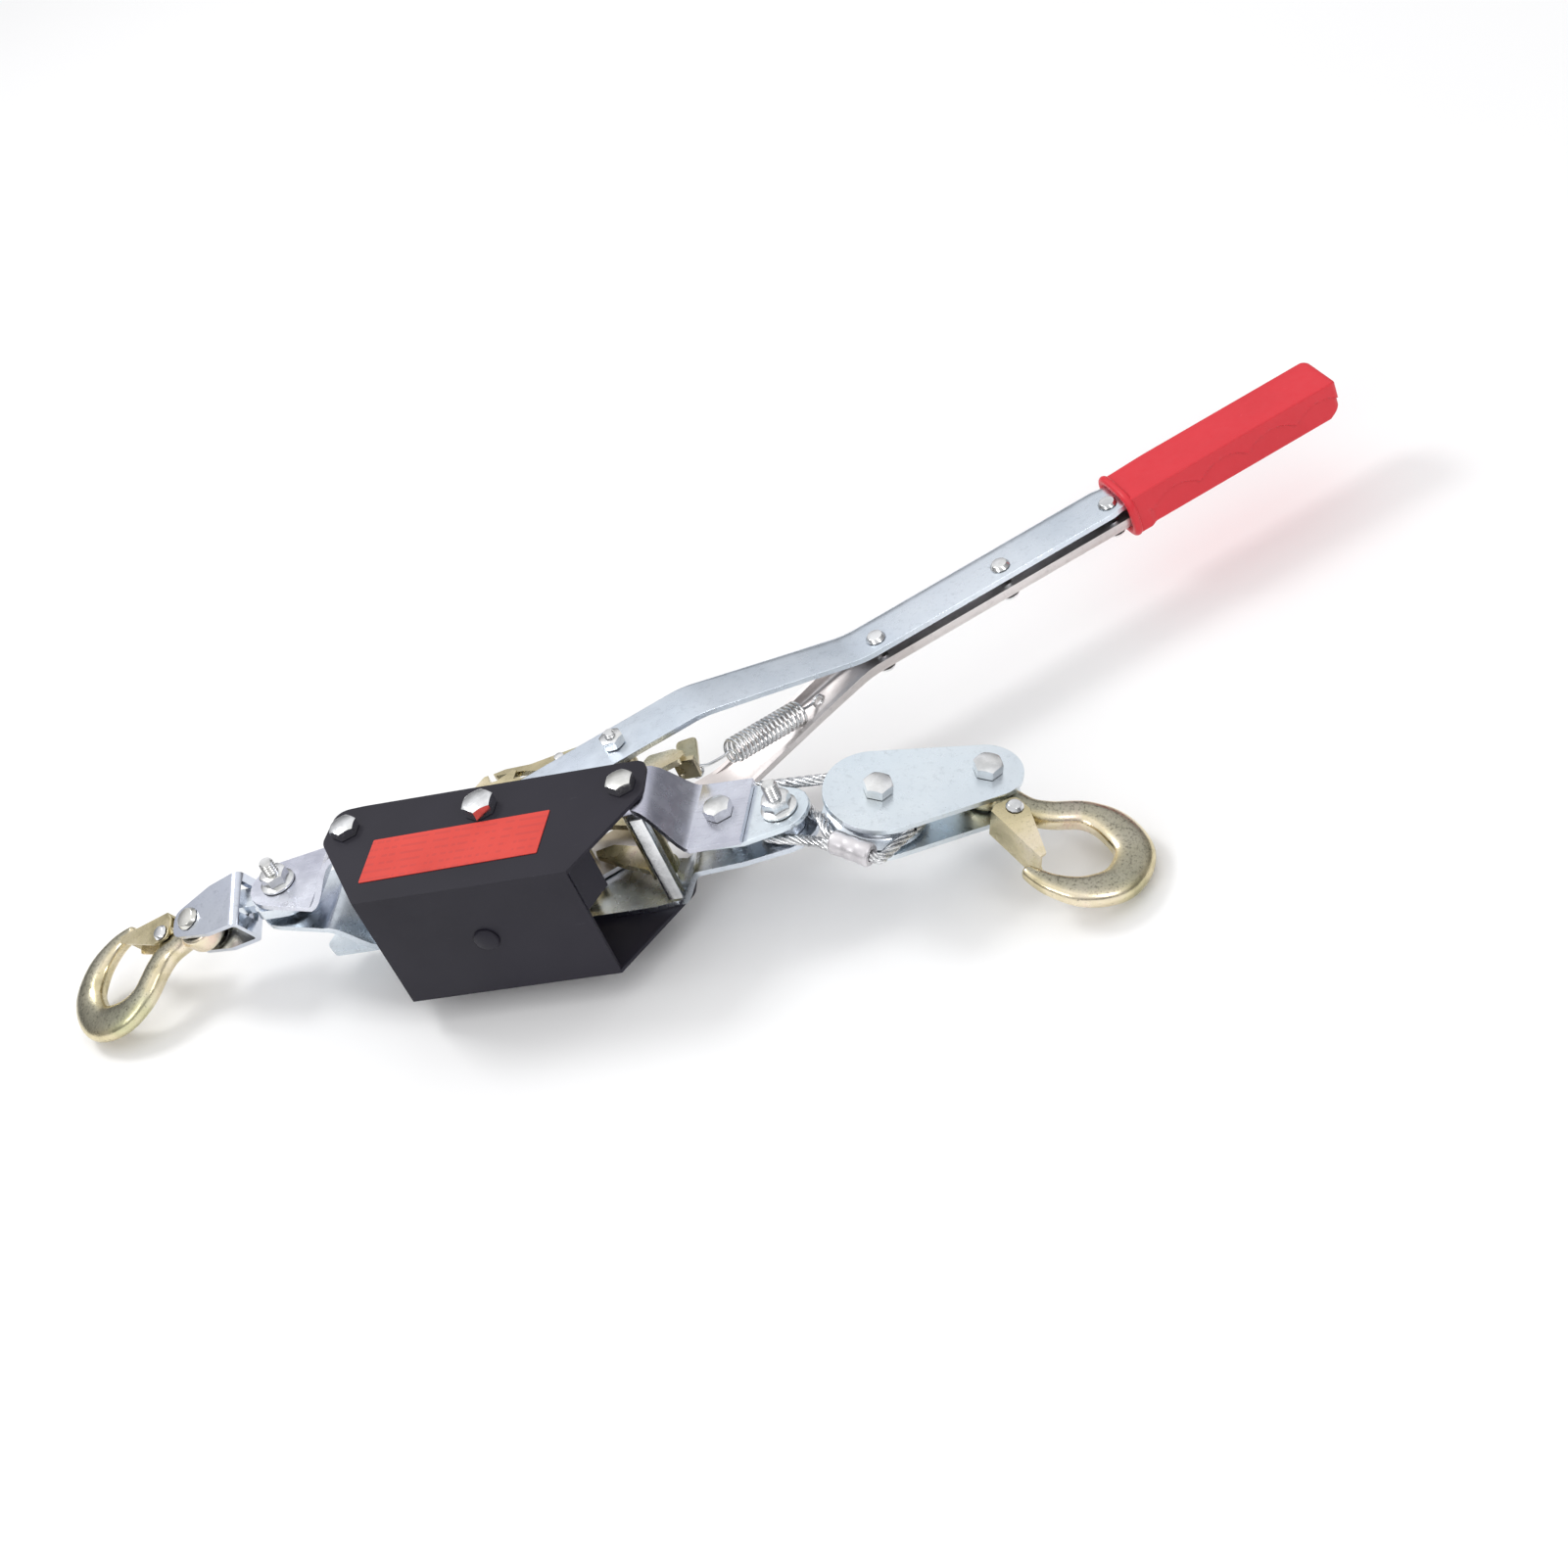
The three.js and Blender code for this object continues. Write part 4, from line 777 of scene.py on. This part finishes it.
HOLES = [(5.3, 0, 0), (3.3, DRIVE_PAWL_U, 0)]
SPRING_HOLE = (3, 177, 2)
RIVETS = [(3.3, u, -4.5) for u in (215, 289, 353.5)]
near_arm = drilled("near", arm_mesh(True), [*HOLES, *RIVETS])
piece("lever_arm_near_pressed", *near_arm, "lever", "zinc_plate", LEVER_ZINC, LEVER,
      ("lever_arm_near",), 35)
far_arm = drilled("far", arm_mesh(False), [*HOLES, SPRING_HOLE, *RIVETS])
piece("lever_arm_far_pressed", *far_arm, "lever", "zinc_plate", FAR_ZINC, LEVER @ FLIP_Z,
      ("lever_arm_far",), 35)


# ---- Hooks ----
# The hook's middle line from the eye round to the tip, as (x, y, half width).
HOOK_LINE = [
    (8, 0, 7.4), (18, 0.3, 7.2), (28, 2, 7.3), (37, 8, 7.5), (49, 20, 8), (65, 24, 10.2),
    (83.5, 17.5, 10.6), (91, -2, 10.2), (83, -18.5, 8.6), (69, -27, 6.0), (59, -29, 4.6), (54, -29.5, 3.4),
]
HOOK_THICK = 6.3  # half thickness of the body
HOOK_DRAWN_HALF = 6.5
TIP_STARTS = 0.72  # share of the line after which the body thins to the tip


def forged_hook():
    """Swept body with an oval section, its eye and latch lug, in one part."""
    line = smooth_route(HOOK_LINE, 1.6)
    centre = line.copy()
    centre[:, 2] = 0
    width = line[:, 2]
    tangent = tangents(centre)
    rings = []
    total = len(centre)
    for i in range(total):
        normal = np.array((-tangent[i][1], tangent[i][0], 0))
        t = i / (total - 1)
        thick = HOOK_THICK * (1 - 0.38 * max(0, (t - TIP_STARTS) / (1 - TIP_STARTS)) ** 1.4)
        ring = []
        for j in range(28):
            a = turn(j, 28)
            x = signed_power(math.cos(a), 0.86)
            z = signed_power(math.sin(a), 0.86)
            ring.append(tuple(centre[i] + normal * x * width[i] + np.array((0, 0, z * thick))))
        rings.append(ring)
    tip = centre[-1] + tangent[-1] * 1.6
    rings.append([tuple(tip + (np.array(p) - centre[-1]) * 0.55) for p in rings[-1]])
    eye_profile = []
    for j in range(24):
        a = turn(j, 24)
        eye_profile.append((10.3 + 3.3 * signed_power(math.cos(a), 0.7),
                            6.4 * signed_power(math.sin(a), 0.62)))
    eye_profile.append(eye_profile[0])
    lug = lathe([(0, -6.3), (5.2, -6.3), (6, -5.6), (6, 5.6), (5.2, 6.3), (0, 6.3)], 36)
    return merge(sweep_mesh(rings), lathe(eye_profile, 56), moved(lug, at(25, -7)))


def fused(name, part, voxel, smoothing):
    """Join a part's overlapping shells into one smooth skin."""
    obj = scratch_object(name, *part, 1e-6)
    remesh = obj.modifiers.new("remesh", "REMESH")
    remesh.mode = "VOXEL"
    remesh.voxel_size = voxel
    relax = obj.modifiers.new("relax", "SMOOTH")
    relax.iterations = smoothing
    relax.factor = 0.5
    return taken_out(obj)


HOOK = fused("hook_form", forged_hook(), 0.75, 5)
SCALED = Matrix.Diagonal((HOOK_SCALE, HOOK_SCALE, HOOK_HALF / HOOK_DRAWN_HALF, 1))
for tag, place in (("block", BLOCK_HOOK), ("anchor", ANCHOR_HOOK)):
    piece(f"{tag}_hook_forged", *HOOK, f"{tag}_hook", "yellow_zinc", HOOK_FINISH[tag], place @ SCALED,
          (f"{tag}_hook",), 0)


# ---- Cable ----
GROOVE_R = 19.5  # bottom of the sheave's groove
SHEAVE_LINE_R = GROOVE_R + ROPE_D / 2 + 0.4
EXIT_Y = 26.8 + ROPE_D / 2 + 0.35


def in_block(x, y, z=0.0):
    """A point given in the block's frame."""
    return np.array(BLOCK @ Vector((x, y, z)))


def on_sheave(degrees, dx=0.0, dy=0.0):
    """Point of the cable's line round the sheave, or one (dx, dy) away from it."""
    a = math.radians(degrees)
    return in_block(SHEAVE_LINE_R * math.cos(a) + dx, SHEAVE_LINE_R * math.sin(a) + dy)


def rope(name, route, body, nodes):
    return piece(name, *strands(route, ROPE_D), body, "rope_steel", ROPE, WORLD, nodes, 60)


wrap_route = smooth_route([on_sheave(a) for a in range(96, -59, -11)], 1.0)
rope("cable_round_sheave", wrap_route, "block", ("cable_on_sheave",))
run_route = smooth_route([(2, EXIT_Y, 0), (20, EXIT_Y, 0), (70, EXIT_Y - 1, 0), (125, EXIT_Y - 4.5, 0),
                          on_sheave(97, -12, 0.6), on_sheave(98)], 1.0)
run = rope("cable_out", run_route, None, ("cable_run",))

FERRULE_HALF = 10.75
ferrule_axis = np.array((BLOCK.to_3x3() @ Vector((0.686, -0.727, 0.11))).normalized())
ferrule_centre = in_block(-19.4, -25, 1.1)
reach = FERRULE_HALF + 0.35
return_route = smooth_route([on_sheave(-60), in_block(2, -26.6, 0.3), in_block(-4.5, -32, 0.8),
                             ferrule_centre + ferrule_axis * (reach + 4),
                             ferrule_centre + ferrule_axis * (reach - 1.5)], 1.0)
back = rope("cable_back", return_route, None, ("cable_return",))


def anchor_loop():
    """Route out of the ferrule, round the anchor bolt's thimble and back in beside itself."""
    mouth = ferrule_centre - ferrule_axis * reach
    side = np.array((ferrule_axis[1], -ferrule_axis[0], 0))
    side /= np.linalg.norm(side)

    def leg(sign, along):
        return mouth - ferrule_axis * along - side * sign * 2.95

    loop_r = 12.6
    loop_z = -1.7
    ring = [(ANCHOR_X + loop_r * math.cos(math.radians(a)), loop_r * math.sin(math.radians(a)), loop_z)
            for a in range(40, 239, 18)]
    return smooth_route([leg(1, -1.5), leg(1, 3), (168.8, -9, loop_z + 5.8),
                         (162.9, -1.5, loop_z + 1.7), *ring, (157.5, -16.5, loop_z + 0.6),
                         leg(-1, 3), leg(-1, -1.5)], 1.0)


rope("cable_loop", anchor_loop(), "frame", ("cable_anchor_loop",))


def pressed_sleeve():
    """Flattened barrel with turned-in ends and two press bands."""
    sleeve = []
    for i in range(29):
        z = -FERRULE_HALF + 2 * FERRULE_HALF * i / 28
        end = max(0, abs(z) - (FERRULE_HALF - 1.4)) / 1.4
        squeeze = 0.35 * math.exp(-((abs(z) - 3.4) / 1.6) ** 2)
        ring = []
        for j in range(40):
            a = turn(j, 40)
            rr = 6.0 - squeeze * (0.4 + 0.6 * abs(math.sin(a))) - 0.8 * end * end
            ring.append((1.04 * rr * math.cos(a), 0.95 * rr * math.sin(a), z))
        sleeve.append(ring)
    inner = [[(0.62 * x, 0.62 * y, z) for x, y, z in ring] for ring in (sleeve[0], sleeve[-1])]
    deep = [[(x, y, z * 0.8) for x, y, z in ring] for ring in inner]
    return sweep_mesh([deep[0], inner[0], *sleeve, inner[1], deep[1]])


piece("ferrule_sleeve", *pressed_sleeve(), "frame", "ferrule_metal", FERRULE,
      frame_of(ferrule_centre, BLOCK.to_3x3().col[2], ferrule_axis), ("ferrule",), 40)


def wound_turns():
    """The outer layer of turns on the drum, over a plain inner layer."""
    half = 17.05
    line_r = 24.05
    steps = 6 * 72
    wound = []
    for i in range(steps + 1):
        a = turn(i, 72)
        z = -half + 2.8 + (2 * half - 5.6) * i / steps
        wound.append((line_r * math.cos(a), line_r * math.sin(a), z))
    outer = strands(np.array(wound), ROPE_D, sides=8, lobes=0)
    core = lathe([(15.4, -half), (23.6, -half), (23.6, half), (15.4, half), (15.4, -half)])
    return merge(outer, core)


piece("cable_turns", *wound_turns(), "drum", "rope_steel", ROPE, WORLD, ("wound_cable",), 60)


# ---- Sheave ----
def sheave_wheel():
    """Grooved wheel with a raised hub on each face."""
    rim = 24.5
    groove = 2.9
    half = [(rim, 4.4), (rim, 5.1), (rim - 0.7, 5.5), (11, 5.5), (11, 6.1), (10, 6.5), (5.35, 6.5)]
    profile = [(r, -z) for r, z in reversed(half)]
    for i in range(9):
        a = math.radians(-150 + 120 * i / 8)
        profile.append((GROOVE_R + groove + groove * math.sin(a), groove * math.cos(a)))
    return lathe([*profile, *half, profile[0]], 72)


piece("sheave_wheel", *sheave_wheel(), "sheave", "zinc_plate", ZINC, BLOCK, ("sheave",), 35)


# ---- Spring ----
def coil_spring():
    """Close-wound extension spring with a round loop at each end."""
    low = np.array((98.9, 33, 8.8))
    high = np.array((147.3, 98, -12.4))
    along = high - low
    length = np.linalg.norm(along)
    start, end = length * 0.26, length * 0.84
    turns = 17
    steps = 26  # points per turn
    taper = 14  # points over which the end turns draw in
    loop = 3.0
    count = turns * steps
    angles = [math.radians(a) for a in range(60, 391, 30)]
    route = [(loop * math.sin(a), 0, 1 + loop * math.cos(a)) for a in reversed(angles)]
    route += [(0.8, 0, 7), (0.6, 0.4, start * 0.85)]
    for i in range(count + 1):
        a = turn(i, steps)
        r = 1.2 + 5.0 * min(1, i / taper, (count - i) / taper)
        route.append((r * math.cos(a), r * math.sin(a), start + (end - start) * (i / count)))
    route += [(0.6, 0.4, end + 2), (0.6, 0, length - 5)]
    route += [(loop * math.sin(a), 0, length - 1 - loop * math.cos(a)) for a in angles]
    return frame_of(low, (0, 0, 1), along), wire(smooth_route(route, 0.75), 0.8, 9)


spring_place, spring_mesh = coil_spring()
spring = piece("pawl_spring_coil", *spring_mesh, None, "bright_zinc", BRIGHT, spring_place,
               ("pawl_spring",), 0)


# ---- Grip ----
GRIP_START = 361.0
GRIP_END = 486.5
GRIP_HALF = 11.5
GRIP_HALF_WIDTH = 15.0
GRIP_SCOOP = 2.1


def finger_wave(u):
    """Height of the wave on the grip's front: round crests and sharp troughs."""
    return -2 + 6.6 * abs(math.cos(math.pi * (u - GRIP_START - 26) / 29)) ** 0.85


def soft_step(x):
    x = min(1.0, max(0.0, x))
    return x * x * (3 - 2 * x)


def corner(v, z, r, start, steps, first=0):
    """Points of a quarter circle of radius r about (v, z), from the angle start."""
    angles = [start + math.pi / 2 * k / steps for k in range(first, steps + 1)]
    return [(v + r * math.cos(a), z + r * math.sin(a)) for a in angles]


def grip_section(u):
    """Outline of the grip at u, as (v, z), drawn 0.1 mm inside its nominal size."""
    end = max(0.0, (u - (GRIP_END - 4)) / 4)
    back = GRIP_HALF_WIDTH - 0.1 - 1.1 * (1 - soft_step((u - GRIP_START) / 28)) - 2.6 * end ** 2
    front = -GRIP_HALF_WIDTH + 0.1 + 1.2 * end ** 3
    top = GRIP_HALF - 0.1 - 0.9 * end ** 3
    bottom = -GRIP_HALF + 0.1 + 0.6 * end ** 2 + max(0.0, (u - (GRIP_END - 6)) * 0.7)
    wave = finger_wave(u)
    depth = GRIP_SCOOP * soft_step((u - GRIP_START - 8) / 5)
    wide, narrow, heel = 2.2, 0.9, 1.8  # corner radii
    outline = corner(back - wide, top - wide, wide, 0, 5)
    outline += [(back - 9, top), (0, top), (front + 8, top)]
    outline += corner(front + narrow, top - narrow, narrow, math.pi / 2, 3)
    for k in range(26):
        z = top - 1.2 + (bottom + 2.0 - (top - 1.2)) * k / 25
        outline.append((front + depth * soft_step((wave - z) / 0.6 + 0.5), z))
    outline += corner(front + depth + heel, bottom + heel, heel, math.pi, 5, first=1)
    outline += [(0, bottom), (back - 9, bottom)]
    return outline + corner(back - wide, bottom + wide, wide, -math.pi / 2, 5)


def grip_mesh():
    """Moulded grip: box section with soft corners, its front scooped out below the finger wave."""
    along = [*np.linspace(GRIP_START, GRIP_END - 4, 170), *np.linspace(GRIP_END - 3.6, GRIP_END - 0.1, 12)]
    rings = [[(u, v, z) for v, z in grip_section(u)] for u in along]
    rings.append([(GRIP_END, v * 0.95, z * 0.93) for _, v, z in rings[-1]])
    inner = [(GRIP_START, max(-13.0, min(13.0, v)), max(-9, min(9, z))) for _, v, z in rings[0]]
    deep = [(GRIP_START + 9, v, z) for _, v, z in inner]
    return sweep_mesh([deep, inner, *rings])


def collar_mesh():
    """Thick rounded bead round the mouth of the grip."""
    half_width, half_height = 15.6, 11.6
    rings = []
    for i in range(72):
        a = turn(i, 72)
        c, s = math.cos(a), math.sin(a)
        v = half_width * signed_power(c, 0.5)
        z = half_height * signed_power(s, 0.5)
        out = np.array((c * half_height, s * half_width))
        out /= np.linalg.norm(out)
        ring = []
        for j in range(16):
            b = turn(j, 16)
            reach_out = (2.3 if math.cos(b) > 0 else 2.6) * math.cos(b)
            ring.append((361.4 + 2.35 * math.sin(b), v + out[0] * reach_out, z + out[1] * reach_out))
        rings.append(ring)
    return sweep_mesh(rings, closed_loop=True)


piece("grip_moulding", *merge(grip_mesh(), collar_mesh()), "lever", "grip_red", RED, LEVER, ("grip",), 38)


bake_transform(run)
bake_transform(back)
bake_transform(spring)


# ---- Camera, light and floor ----
CAMERA_RIGHT = (0.931, 0.143, -0.337)
CAMERA_BACK = (0.334, -0.709, 0.622)
CAMERA_AT = (0.5918, -0.9276, 0.8348 + LIFT * MM)
FLOOR_HALF = 6
camera = bpy.data.objects.new("camera", bpy.data.cameras.new("camera"))
bpy.context.scene.collection.objects.link(camera)
bpy.context.scene.camera = camera
camera.data.sensor_width = 36
camera.data.lens = 62.96
right = Vector(CAMERA_RIGHT).normalized()
back_dir = Vector(CAMERA_BACK)
back_dir = (back_dir - right * back_dir.dot(right)).normalized()
up = back_dir.cross(right)
pose = Matrix((right, up, back_dir)).transposed().to_4x4()
pose.translation = Vector(CAMERA_AT)
camera.matrix_world = pose

floor_z = cad_box[0][2] - 0.0005
floor = bpy.data.meshes.new("floor")
floor_corners = [(-FLOOR_HALF, -FLOOR_HALF), (FLOOR_HALF, -FLOOR_HALF), (FLOOR_HALF, FLOOR_HALF),
                 (-FLOOR_HALF, FLOOR_HALF)]
floor.from_pydata([(x, y, floor_z) for x, y in floor_corners], [], [(0, 1, 2, 3)])
floor_obj = bpy.data.objects.new("floor", floor)
bpy.context.scene.collection.objects.link(floor_obj)
ground = Nodes("floor_white")
ground.finish(ground.ramp(ground.noise(2, 2), [(0.3, 0.93), (0.7, 0.95)]), 0.9, 0.0)
floor.materials.append(ground.material)

# Studio: pale overhead light that darkens towards the horizon, so that metal has something to reflect.
world = bpy.data.worlds.new("studio")
world.use_nodes = True
bpy.context.scene.world = world
sky = world.node_tree.nodes["Background"]
direction = world.node_tree.nodes.new("ShaderNodeTexCoord")
height = world.node_tree.nodes.new("ShaderNodeSeparateXYZ")
fall = world.node_tree.nodes.new("ShaderNodeValToRGB")
world.node_tree.links.new(direction.outputs["Generated"], height.inputs["Vector"])
world.node_tree.links.new(height.outputs["Z"], fall.inputs["Fac"])
world.node_tree.links.new(fall.outputs["Color"], sky.inputs["Color"])
stops = fall.color_ramp.elements
stops[0].position = 0.0
stops[0].color = (0.2, 0.2, 0.21, 1)
stops[1].position = 0.9
stops[1].color = (1.0, 1.0, 1.0, 1)
for share, level in ((0.28, 0.3), (0.55, 0.84)):
    stop = stops.new(share)
    stop.color = (level, level, level * 1.02, 1)
sky.inputs["Strength"].default_value = 1.05
bpy.context.scene.view_settings.view_transform = "Standard"
bpy.context.scene.view_settings.look = "None"


def lamp(name, place, target, power, size, size_y=None):
    """Area lamp of size by size_y metres, aimed at target."""
    light = bpy.data.lights.new(name, "AREA")
    light.energy = power
    light.shape = "RECTANGLE"
    light.size = size
    light.size_y = size_y or size
    obj = bpy.data.objects.new(name, light)
    obj.location = place
    aim = Vector(target) - Vector(place)
    obj.rotation_euler = aim.to_track_quat("-Z", "Y").to_euler()
    bpy.context.scene.collection.objects.link(obj)


lamp("key", (-0.9, 0.5, 1.5), (0.05, 0, 0), 9, 0.5)
lamp("fill", (1.4, -0.9, 1.0), (0.1, 0, 0), 4, 0.4)
lamp("front", (-0.5, -1.5, 0.9), (0.05, 0, 0), 4, 0.7, 0.3)
